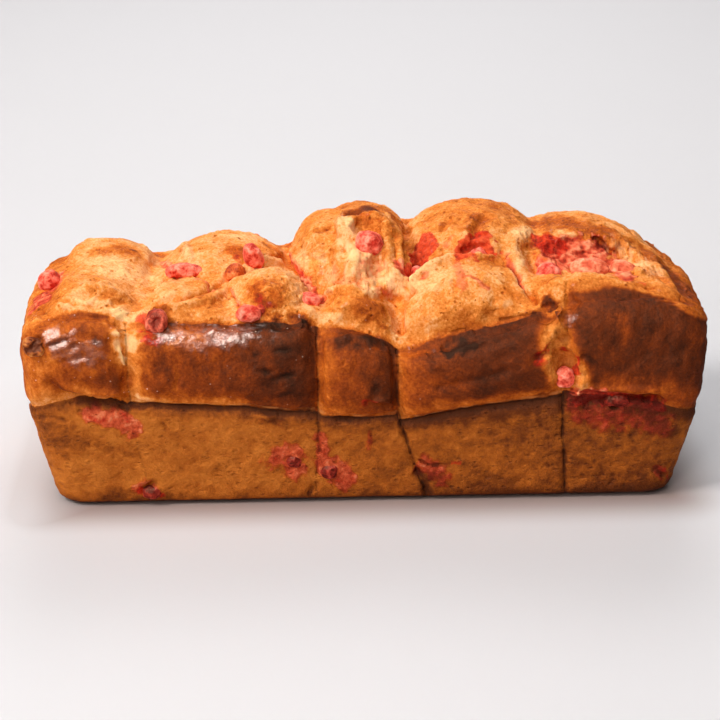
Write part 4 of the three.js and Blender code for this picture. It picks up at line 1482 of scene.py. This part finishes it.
# %% Where the sugar stained the dough
# The kind, a radius in millimetres, a strength and the pixels. Amber is clear melted sugar, and pale stands
# for strands of stretched crumb.
STAINS = [
    # melted sugar and stretched strands
    ("amber", 3.4, 1, [(381, 287), (384, 294)]),
    ("amber", 3, 0.9, [(312, 262), (318, 267)]),
    ("amber", 3, 1, [(399, 298), (400, 308)]),
    ("amber", 3, 0.9, [(278, 262), (286, 266)]),
    ("amber", 5, 0.9, [(348, 216), (358, 212), (366, 211)]),
    ("amber", 5, 0.8, [(231, 250), (240, 253)]),
    ("amber", 7, 0.7, [(258, 288), (266, 298)]),
    ("amber", 5, 0.6, [(498, 290), (515, 297)]),
    ("pale", 4.4, 1, [(343, 218), (346, 232), (351, 250), (354, 266), (354, 280)]),
    ("pale", 7, 1, [(364, 256), (367, 270), (366, 284)]),
    ("pale", 6, 0.8, [(384, 262), (386, 276), (394, 286)]),
    ("pale", 3, 0.7, [(324, 262), (328, 273)]),
    ("pale", 4, 0.7, [(184, 246), (190, 256), (194, 264)]),
    ("pale", 4.6, 0.5, [(524, 232), (514, 244), (515, 264), (521, 284)]),
    ("pale", 7, 0.6, [(612, 250), (632, 262), (655, 272)]),
    # the left lobes
    ("pink", 7, 1.2, [(50, 274), (46, 284), (38, 292), (30, 301)]),
    ("red", 3, 0.8, [(49, 276), (40, 290), (33, 300)]),
    ("pink", 2.6, 0.9, [(163, 262), (170, 268), (180, 270)]),
    ("pink", 3, 0.5, [(197, 281), (205, 284), (212, 291)]),
    ("pink", 1.6, 0.7, [(230, 288), (236, 300), (241, 312)]),
    ("pink", 3, 1, [(243, 310), (250, 313), (260, 310)]),
    ("red", 2.4, 0.6, [(236, 255), (240, 262)]),
    ("red", 3, 0.5, [(256, 296), (266, 302), (272, 306)]),
    # the bun and what lies beside it
    ("pink", 3, 0.9, [(291, 255), (297, 267), (305, 280), (313, 292), (320, 300)]),
    ("red", 2, 0.9, [(291, 254), (296, 266), (302, 276)]),
    ("pink", 7, 0.4, [(372, 262), (365, 272), (358, 284)]),
    ("pink", 4, 0.4, [(340, 280), (334, 270)]),
    ("pink", 3, 0.5, [(378, 290), (388, 292)]),
    ("red", 1.4, 0.7, [(369, 297), (380, 299), (396, 301)]),
    ("pink", 3, 0.9, [(398, 262), (404, 270), (412, 278)]),
    ("red", 2, 0.8, [(403, 271), (410, 278)]),
    ("red", 6.4, 1.8, [(426, 244), (423, 252), (420, 262), (418, 276)]),
    ("pink", 3, 0.9, [(424, 279), (430, 272)]),
    # the fish-shaped lobe and the well behind it
    ("pink", 3, 0.5, [(457, 263), (459, 275), (463, 286)]),
    ("pink", 2.4, 0.6, [(470, 278), (480, 283), (487, 288)]),
    ("pink", 2.6, 0.7, [(509, 258), (512, 270), (521, 287)]),
    ("pink", 3, 0.4, [(447, 245), (450, 238)]),
    ("red", 6.8, 1.8, [(467, 257), (473, 249), (481, 244), (484, 254)]),
    ("red", 2, 0.5, [(440, 264), (452, 258)]),
    # the crater
    ("red", 5.6, 0.9, [(540, 240), (550, 246), (560, 249)]),
    ("pink", 10, 1.2, [(556, 262), (572, 254), (594, 258)]),
    ("pink", 4.5, 0.9, [(595, 268), (612, 270), (630, 277)]),
    ("pink", 2.5, 1, [(566, 240), (576, 240)]),
    ("red", 2, 0.5, [(640, 281), (655, 287), (668, 292)]),
    # the torn gap and under the fifth pillow
    ("red", 3.4, 1, [(580, 401), (590, 399), (606, 399), (628, 399), (650, 401), (661, 407)]),
    ("pink", 5, 1, [(576, 398), (590, 395), (612, 396), (640, 402), (658, 406)]),
    ("pink", 8, 0.66, [(584, 413), (604, 417), (632, 418), (660, 425)]),
    ("red", 4, 0.36, [(584, 414), (600, 418), (630, 418)]),
    ("red", 2.4, 0.9, [(540, 357), (549, 350), (556, 345), (563, 340)]),
    ("red", 3.6, 1, [(562, 353), (572, 360), (574, 372)]),
    ("red", 2.4, 0.6, [(535, 364), (545, 362)]),
    # the front shoulder
    ("red", 2, 0.9, [(34, 349), (38, 342)]),
    ("pink", 3, 0.35, [(45, 324), (52, 318)]),
    ("red", 5, 0.9, [(141, 316), (144, 328), (152, 338)]),
    ("red", 2.4, 0.7, [(366, 403), (378, 406), (390, 408)]),
    ("pink", 2, 0.5, [(376, 404), (384, 404)]),
    # the moulded front
    ("pink", 6, 0.9, [(92, 412), (102, 418), (115, 420), (130, 428)]),
    ("red", 1.4, 0.6, [(91, 417), (99, 422), (104, 420)]),
    ("red", 1.4, 0.6, [(124, 413), (128, 422)]),
    ("pink", 3, 0.7, [(135, 488), (145, 484), (154, 490)]),
    ("red", 2.8, 0.9, [(142, 491), (152, 493), (160, 495)]),
    ("pink", 6, 0.9, [(276, 460), (284, 453), (292, 456), (296, 470)]),
    ("red", 1.6, 0.5, [(276, 458), (283, 462)]),
    ("pink", 3.6, 0.9, [(321, 440), (323, 456)]),
    ("pink", 6, 1, [(326, 466), (336, 468), (344, 480)]),
    ("red", 2, 0.4, [(333, 478), (348, 484)]),
    ("pink", 1.6, 0.7, [(370, 433), (369, 448)]),
    ("pink", 6, 0.7, [(424, 466), (434, 470), (440, 478)]),
    ("red", 1, 0.7, [(415, 459), (430, 466), (446, 465)]),
    ("red", 1, 0.6, [(452, 463), (460, 463)]),
    ("pink", 3, 0.7, [(656, 470), (664, 476)]),
    ("red", 1.6, 0.6, [(664, 470), (668, 480)]),
    ("red", 3, 0.3, [(262, 420), (280, 424)]),
]
stains = {kind: np.zeros(len(points)) for kind in ("pink", "red", "amber", "pale")}
for kind, radius, strength, pixels in STAINS:
    stains[kind] = np.maximum(stains[kind], strength * marked(points, pixels, radius))
print("stains:", {kind: int((amount > 0).sum()) for kind, amount in stains.items()}, "points")

# %% [markdown]
# Two last numbers. The hollow one tells where the dough dips: a smoothed copy of the loaf lies above a dip
# and below a bump, and the shader paints shade into the dips with it. The gloss one tells where butter and
# melted sugar made the band shine.

# %% Hollows and gloss
choose(dough)
bpy.ops.object.duplicate()
smoothed = bpy.context.object
apply_modifier(smoothed, "SMOOTH", factor=0.5, iterations=14)
hollow = ((points_of(smoothed) - points) * normals).sum(axis=1)
bpy.data.objects.remove(smoothed)

gloss = 0.3 + 0.25 * blotchy - 0.2 * ease(-60, 60, x)
for radius, pixels in GLOSSY:
    gloss += 0.7 * marked(points, pixels, radius, roughness=0.4)
print("hollows to", round(float(hollow.max()), 2), "mm, bumps to", round(float(hollow.min()), 2), "mm")

# %% Keep the numbers at the points
KEPT = {
    "wall bake": wall_bake,
    "band bake": band_bake,
    "top bake": top_bake,
    "shade": shade,
    **stains,
    "hollow": hollow,
    "gloss": gloss,
    "torn": torn,
    "crisp": along_pieces(x, "crisp"),
    "leaning": ease(6, 14, x) * (1 - ease(84, 92, x)),
    "above lip": above_lip,
    "above shoulder": above_shoulder,
    "beside seam": beside_seam,
    "split": along_seams(x, "split"),
    "open": along_seams(x, "open"),
}
for name, values in KEPT.items():
    keep_numbers(dough, name, values)
print("kept at each point:", ", ".join(KEPT))

# %% [markdown]
# The crust's shader first mixes the three bake levels at the lip and the shoulder, with a ragged edge, and
# adds patches, streaks, speckles and painted shade in the pores and hollows. A ramp turns that level into
# colour. Melted sugar and painted shade between the lobes tint it amber, and pale strands and painted glints
# lighten it. A painted highlight lines the lip's edge, painted shade darkens the crease under the lip and the
# open seams, and the sugar's stains go on top. The browns were set against the photograph, because baked
# crust easily turns out too red.

# %% The colours of the crust
BAKED = [
    (0, srgb(248, 200, 134)),
    (0.14, srgb(237, 171, 111)),
    (0.28, srgb(222, 131, 52)),
    (0.42, srgb(186, 90, 20)),
    (0.56, srgb(142, 58, 8)),
    (0.7, srgb(102, 39, 7)),
    (0.85, srgb(70, 26, 7)),
    (1, srgb(42, 17, 7)),
]
WALL_BAKED = [
    (0, srgb(216, 128, 48)),
    (0.5, srgb(166, 86, 22)),
    (0.8, srgb(108, 49, 12)),
    (1, srgb(84, 36, 10)),
]
ROSE_STOPS = [
    (0, srgb(104, 26, 16)),
    (0.3, srgb(176, 50, 34)),
    (0.5, srgb(228, 98, 66)),
    (0.72, srgb(250, 158, 114)),
]
GLASS_STOPS = [
    (0.2, srgb(112, 14, 8)),
    (0.5, srgb(196, 32, 10)),
    (0.72, srgb(226, 76, 36)),
]
# the amber of clear melted sugar, also the tint of the painted shade between the lobes
AMBER_AND_SHADE = (1, 0.78, 0.42, 1)
STRAND = srgb(252, 200, 146)
# painted glints: the colour of the sparkling highlights
PAINTED_GLINT = srgb(255, 222, 196)
WASH = (0.95, 0.56, 0.5, 1)
BUTTER = (1, 0.66, 0.46, 1)  # the tint of what the buttery skin reflects
# painted highlight on the lip's edge, and painted shade for the crease under it and the open seams
LIP_HIGHLIGHT = srgb(226, 150, 84)
CREASE_SHADE = srgb(48, 20, 10)
print("crust colours:", len(BAKED), "for band and top,", len(WALL_BAKED), "for the wall")


# %% Where wall, band and top meet, and how far each place is baked
STREAK_LEAN = math.radians(-24)  # the streaks of the fourth piece run aslant
TORN_LEVEL = 0.33


def crust_masks(tree):
    """1 on the wall and 1 on the top, both with ragged edges."""
    ragged = scaled(tree, grain(tree, 2.2, 4), 2.4, -1.2)
    above_lip = total(tree, kept(tree, "above lip"), scaled(tree, ragged, 0.3))
    above_shoulder = total(tree, kept(tree, "above shoulder"), ragged)
    return fade(tree, above_lip, -0.25, 0.25, 1, 0), fade(tree, above_shoulder, -0.9, 0.9)


def crust_pores(tree, on_wall, on_top):
    """Round pores on the top and long ones on the wall, in two sizes each."""
    round_pores = sums(tree, "MAXIMUM", dots(tree, 3.6, 1.1, 0.4), dots(tree, 2.1, 0.5, 0.3))
    long_large = dots(tree, 2.6, 0.9, 0.4, stretch=(0.55, 1, 1))
    long_small = dots(tree, 1.5, 0.5, 0.4, stretch=(0.5, 1, 1))
    long_pores = product(tree, sums(tree, "MAXIMUM", long_large, long_small), on_wall)
    return sums(tree, "MAXIMUM", product(tree, round_pores, on_top), long_pores)


def crust_level(tree, on_wall, on_top, pores):
    """How far the crust is baked at each place, from 0 to 1."""
    # the band has streaks, the top and the wall get painted shade in their hollows, and the wall is mottled
    upright = grain(tree, 2.6, 4, stretch=(1, 1, 0.35))
    leaning = grain(tree, 2.2, 5, stretch=(0.28, 1, 1), lean=STREAK_LEAN)
    streaks = either(tree, kept(tree, "leaning"), upright, leaning)
    of_band = total(tree, kept(tree, "band bake"), scaled(tree, streaks, 0.32, -0.16))
    of_band = either(tree, kept(tree, "torn"), of_band, TORN_LEVEL)
    of_top = total(tree, kept(tree, "top bake"), scaled(tree, kept(tree, "hollow"), 0.1))
    mottled = scaled(tree, grain(tree, 4, 4, roughness=0.6), 0.5, -0.22)
    of_wall = total(tree, kept(tree, "wall bake"), scaled(tree, kept(tree, "hollow"), 0.3), mottled)
    level = either(tree, on_top, of_band, of_top)
    level = either(tree, on_wall, level, of_wall)
    # patches and speckles lie on all three, and the pores get painted shade
    patches = scaled(tree, grain(tree, 8, 4), 0.3, -0.15)
    speckle = scaled(tree, grain(tree, 1.1, 4, roughness=0.65), 1, -0.5)
    speckle = product(tree, speckle, either(tree, on_top, 0.34, 0.5))
    darker = product(tree, pores, either(tree, on_wall, 0.16, 0.1))
    return total(tree, level, kept(tree, "shade"), patches, speckle, darker)


def open_seams(tree, on_wall, on_top):
    """1 in the middle of each seam, less where it is grown together. It gets painted shade and a groove."""
    open_share = either(tree, on_wall, kept(tree, "split"), kept(tree, "open"))
    broken = fade(tree, grain(tree, 4, 3), 0.35, 0.55, 0.3, 1)
    line = hump(tree, kept(tree, "beside seam"), 0, 0.8)
    return product(tree, line, open_share, broken, sums(tree, "SUBTRACT", 1.0, on_top))


# %% The crust's colour
def crust_colour(tree, level, on_wall, on_top, seams):
    """The baked colour with all that tints it, apart from the sugar's stains."""
    of_pillows = colour_ramp(tree, level, BAKED)
    of_wall = colour_ramp(tree, level, WALL_BAKED)
    colour = blend_colours(tree, on_wall, of_pillows, of_wall)
    # clear melted sugar is amber, and the hollows between the lobes get painted shade tinted amber
    hollow_shade = fade(tree, kept(tree, "hollow"), 0.1, 0.8)
    lobe_hollow_shade = product(tree, hollow_shade, fade(tree, kept(tree, "above shoulder"), 5, 11))
    melted = fade(tree, kept(tree, "amber"), 0.2, 0.9)
    amber_and_shade = sums(tree, "MAXIMUM", scaled(tree, lobe_hollow_shade, 0.8), melted)
    colour = blend_colours(tree, amber_and_shade, colour, AMBER_AND_SHADE, "MULTIPLY")
    # stretched strands of crumb are pale
    strands = fade(tree, grain(tree, 1.3, 3, stretch=(1, 0.22, 0.22)), 0.4, 0.62)
    strands = product(tree, strands, fade(tree, kept(tree, "pale"), 0.1, 1))
    colour = blend_colours(tree, scaled(tree, strands, 0.7), colour, STRAND)
    # painted glints: pale specks where the skin shines, standing in for its sparkling highlights
    painted_glints = product(tree, dots(tree, 2.3, 0.45, 0.25), fade(tree, kept(tree, "gloss"), 0.2, 0.6))
    painted_glints = product(tree, painted_glints, sums(tree, "SUBTRACT", 1.0, on_wall))
    colour = blend_colours(tree, scaled(tree, painted_glints, 0.7), colour, PAINTED_GLINT)
    # painted highlight along the lip's edge, and painted shade in the crease under the lip and in the open
    # seams
    not_top = sums(tree, "SUBTRACT", 1.0, on_top)
    lip_highlight = product(tree, hump(tree, kept(tree, "above lip"), 0.6, 0.8), kept(tree, "crisp"), not_top)
    lip_highlight = product(tree, lip_highlight, fade(tree, grain(tree, 7, 2), 0.35, 0.65))
    colour = blend_colours(tree, scaled(tree, lip_highlight, 0.5), colour, LIP_HIGHLIGHT)
    under_lip_shade = product(tree, hump(tree, kept(tree, "above lip"), -0.7, 0.9), kept(tree, "crisp"), not_top)
    crease = sums(tree, "MAXIMUM", under_lip_shade, seams)
    return blend_colours(tree, scaled(tree, crease, 0.7), colour, CREASE_SHADE)


def sunken(tree, grains, level, hollow_share, level_share, offset):
    """Grains of sugar, deeper in colour where it baked longer and with painted shade in the dough's hollows.
    """
    hollow_shade = scaled(tree, kept(tree, "hollow"), hollow_share)
    return total(tree, grains, hollow_shade, scaled(tree, level, level_share, offset))


def stained(tree, colour, level, on_wall):
    """The colour with the sugar's stains on it, and how much rose and how much red there is."""
    frayed = scaled(tree, grain(tree, 2.4, 5, roughness=0.6), 1.0, -0.5)
    # rose sugar, with a pale wash round it
    rosy = total(tree, kept(tree, "pink"), frayed)
    colour = blend_colours(tree, fade(tree, rosy, 0.1, 0.6), colour, WASH, "MULTIPLY")
    pink_share = fade(tree, rosy, 0.35, 0.85)
    lumps = sunken(tree, grain(tree, 2.2, 4), level, -0.5, -0.7, 0.2)
    rose = colour_ramp(tree, lumps, ROSE_STOPS)
    cover = product(tree, pink_share, either(tree, on_wall, 0.92, 0.6))
    colour = blend_colours(tree, cover, colour, rose)
    # glassy red sugar
    redness = total(tree, kept(tree, "red"), scaled(tree, frayed, 1.1))
    red_share = fade(tree, redness, 0.25, 0.8)
    depth = sunken(tree, grain(tree, 2, 3), level, -0.2, -0.5, 0.15)
    glass = colour_ramp(tree, depth, GLASS_STOPS)
    return blend_colours(tree, scaled(tree, red_share, 0.9), colour, glass), pink_share, red_share


# %% The crust's small bumps
def crust_height(tree, on_wall, pores, pink_share, seams):
    """The small bumps of the skin, for the bump node."""
    wrinkles = product(tree, grain(tree, 1.5, 5, roughness=0.65), either(tree, on_wall, 0.8, 1.2))
    fine = scaled(tree, grain(tree, 0.5, 2), 0.25)
    stringy = sums(tree, "MAXIMUM", kept(tree, "torn"), kept(tree, "pale"))
    strings = product(tree, grain(tree, 1.5, 4, stretch=(1, 0.25, 0.25)), stringy)
    creases = grain(tree, 0.9, 3, stretch=(0.6, 1, 1))
    creases = product(tree, creases, fade(tree, kept(tree, "gloss"), 0.4, 0.9))
    sugar_grains = product(tree, grain(tree, 0.9, 3), pink_share)
    step = product(tree, fade(tree, kept(tree, "above lip"), -0.6, 0.5), kept(tree, "crisp"))
    return total(
        tree,
        wrinkles,
        fine,
        scaled(tree, strings, 1.2),
        scaled(tree, creases, 0.6),
        scaled(tree, sugar_grains, 0.9),
        scaled(tree, seams, -1.0),
        scaled(tree, step, 0.8),
        scaled(tree, pores, -0.6),
    )


def crust_wetness(tree, on_wall, on_top, red_share):
    """How buttery or sugary the skin is: wet on the shining band, in spots on the top, hardly on the wall."""
    of_band = product(tree, kept(tree, "gloss"), fade(tree, grain(tree, 2.4, 4), 0.3, 0.6, 0.55, 1))
    of_top = fade(tree, grain(tree, 3, 4), 0.5, 0.75, 0, 0.7)
    wet = either(tree, on_top, of_band, of_top)
    wet = either(tree, on_wall, wet, 0.1)
    return sums(tree, "MAXIMUM", wet, scaled(tree, red_share, 0.25))


# %% The crust's material
BUMP_DEPTH = 0.8
COAT_BUMP_DEPTH = 0.4  # the butter on top evens out half of the bumps
DRY_ROUGHNESS = 0.66
WET_ROUGHNESS = 0.35
MOST_COAT = 0.95

crust, tree, shader = new_material("brioche crust")
on_wall, on_top = crust_masks(tree)
pores = crust_pores(tree, on_wall, on_top)
level = crust_level(tree, on_wall, on_top, pores)
seams = open_seams(tree, on_wall, on_top)
colour = crust_colour(tree, level, on_wall, on_top, seams)
colour, pink_share, red_share = stained(tree, colour, level, on_wall)
tree.links.new(colour, shader.inputs["Base Color"])

wet = crust_wetness(tree, on_wall, on_top, red_share)
tree.links.new(fade(tree, wet, 0, 1, DRY_ROUGHNESS, WET_ROUGHNESS), shader.inputs["Roughness"])
tree.links.new(fade(tree, wet, 0.34, 1.1, 0, MOST_COAT), shader.inputs["Coat Weight"])
shader.inputs["Specular IOR Level"].default_value = 0.1
shader.inputs["Specular Tint"].default_value = BUTTER
shader.inputs["Coat Roughness"].default_value = 0.36
shader.inputs["Coat IOR"].default_value = 1.6

height = crust_height(tree, on_wall, pores, pink_share, seams)
for socket, depth in (("Normal", BUMP_DEPTH), ("Coat Normal", COAT_BUMP_DEPTH)):
    bump = node(tree, "Bump", {"Height": height, "Strength": 1.0, "Distance": depth * MM})
    tree.links.new(bump.outputs["Normal"], shader.inputs[socket])
print("crust:", len(tree.nodes), "nodes")

# %% The brioche wears its crust and stands for the loaf
dough.data.materials.clear()
dough.data.materials.append(crust)
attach(dough, "root")
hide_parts("loaf")

# %% [markdown]
# ## Pralines
# A praline is a broken almond in rough pink sugar that baked hard. Each starts as a copy of its CAD lump,
# because that has the right size, place and tilt. Its doubled points are merged, it is subdivided, and noise
# breaks its skin into grains of sugar. Two of them have a hole. Those that sank into the dough or lay bare in
# the oven have darker or browner sugar.

# %% Rough baked sugar
SUGAR_ROUGHNESS = 0.45
SUGAR_SHINE = 0.12


def sugar(name, hollows, sides, tips):
    """Rough baked sugar with one colour in its hollows, one on its sides and one on its tips.

    Besides the sugar's own change of colour, the darker hollows are painted shade and the paler tips a
    painted highlight.
    """
    material, tree, shader = new_material(name)
    height = total(tree, kept(tree, "knobs"), scaled(tree, grain(tree, 2.4, 4), 0.8, -0.4))
    colour = colour_ramp(tree, height, [(0.1, srgb(*hollows)), (0.45, srgb(*sides)), (0.9, srgb(*tips))])
    tree.links.new(colour, shader.inputs["Base Color"])
    shader.inputs["Roughness"].default_value = SUGAR_ROUGHNESS
    shader.inputs["Specular IOR Level"].default_value = SUGAR_SHINE
    shader.inputs["Specular Tint"].default_value = BUTTER
    bump = node(tree, "Bump", {"Height": grain(tree, 0.7, 3), "Strength": 0.8, "Distance": 0.4 * MM})
    tree.links.new(bump.outputs["Normal"], shader.inputs["Normal"])
    return material


pink_sugar = sugar("pink sugar", (196, 48, 34), (240, 106, 82), (255, 164, 138))
stained_sugar = sugar("sunken sugar", (84, 18, 12), (132, 34, 24), (176, 64, 46))
brown_sugar = sugar("browned sugar", (124, 30, 20), (204, 82, 58), (244, 142, 112))
burnt_sugar = sugar("burnt sugar", (84, 32, 12), (160, 78, 30), (214, 140, 70))
salmon_sugar = sugar("salmon sugar", (206, 80, 50), (240, 122, 84), (255, 172, 132))
amber_sugar = sugar("amber sugar", (150, 44, 14), (204, 88, 34), (238, 150, 84))
# every praline that isn't named here is pink
sugars = {
    "praline_burnt": burnt_sugar,
    "praline_caramel": amber_sugar,
    "praline_ring": brown_sugar,
    "praline_heap": salmon_sugar,
    "praline_trail": salmon_sugar,
    "praline_wall": stained_sugar,
    "praline_speck": stained_sugar,
    "praline_foot": stained_sugar,
    "praline_band": stained_sugar,
    "praline_rear_wall": stained_sugar,
}
print("pralines that aren't plain pink:", len(sugars))

# %% A subdivided copy of a CAD lump
PRALINE_LEVELS = 4
MERGE_GAP = 0.01


def praline_copy(node_name):
    choose(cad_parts[node_name])
    bpy.ops.object.duplicate()
    lump = bpy.context.object
    lump.name = node_name + "_sugar"
    lump.parent = None
    bpy.ops.object.mode_set(mode="EDIT")
    bpy.ops.mesh.select_all(action="SELECT")
    bpy.ops.mesh.remove_doubles(threshold=MERGE_GAP * MM)
    bpy.ops.mesh.tris_convert_to_quads()
    bpy.ops.object.mode_set(mode="OBJECT")
    apply_modifier(lump, "SUBSURF", levels=PRALINE_LEVELS, render_levels=PRALINE_LEVELS)
    return lump


# %% Pralines
HOLLOWED = {"praline_ring": 4, "praline_burnt": 5}  # how far the hole reaches from its middle, in millimetres
HOLE_DEPTH = 2.6
KNOB_SIZE = 3.6
KNOB_HEIGHT = 0.45
CRUMB_SIZE = 1.2
CRUMB_DEPTH = 0.2
COAT = 0.35  # how thick the sugar lies on the CAD lump between the knobs
COAT_LIMITS = (-0.9, 1.1)


def facing_spot(points):
    """The spot of a lump that faces the front, where the photograph shows a hole in it."""
    gaze = np.array(camera.location) / MM - points.mean(axis=0)
    return points[(points @ gaze).argmax()]


def praline(node_name, index):
    lump = praline_copy(node_name)
    points = points_of(lump)
    knobs = hills(points, KNOB_SIZE, seed=40 + index) + 0.6 * hills(points, KNOB_SIZE / 2, seed=60 + index)
    crumbs = np.abs(hills(points, CRUMB_SIZE, seed=41))
    height = np.clip(COAT + KNOB_HEIGHT * knobs - CRUMB_DEPTH * crumbs, *COAT_LIMITS)
    if node_name in HOLLOWED:
        from_hole = np.linalg.norm(points - facing_spot(points), axis=1)
        hole = 1 - ease(0, 1, from_hole / HOLLOWED[node_name])
        height -= HOLE_DEPTH * hole
        # painted shade in the hole
        knobs -= 1.4 * hole  # as dark as the hollows between the knobs
    move_points(lump, np.clip(points + outward(lump) * height[:, None], box_low, box_high))
    keep_numbers(lump, "knobs", 0.5 + 0.5 * knobs - 0.5 * crumbs)
    choose(lump)
    bpy.ops.object.shade_smooth()
    lump.data.materials.clear()
    lump.data.materials.append(sugars.get(node_name, pink_sugar))
    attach(lump, "root")
    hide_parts(node_name)
    return lump


names = [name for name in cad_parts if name.startswith("praline")]
pralines = [praline(name, index) for index, name in enumerate(names)]
triangles = sum(2 * len(lump.data.polygons) for lump in pralines)
print("pralines:", len(pralines), " triangles in all", triangles)
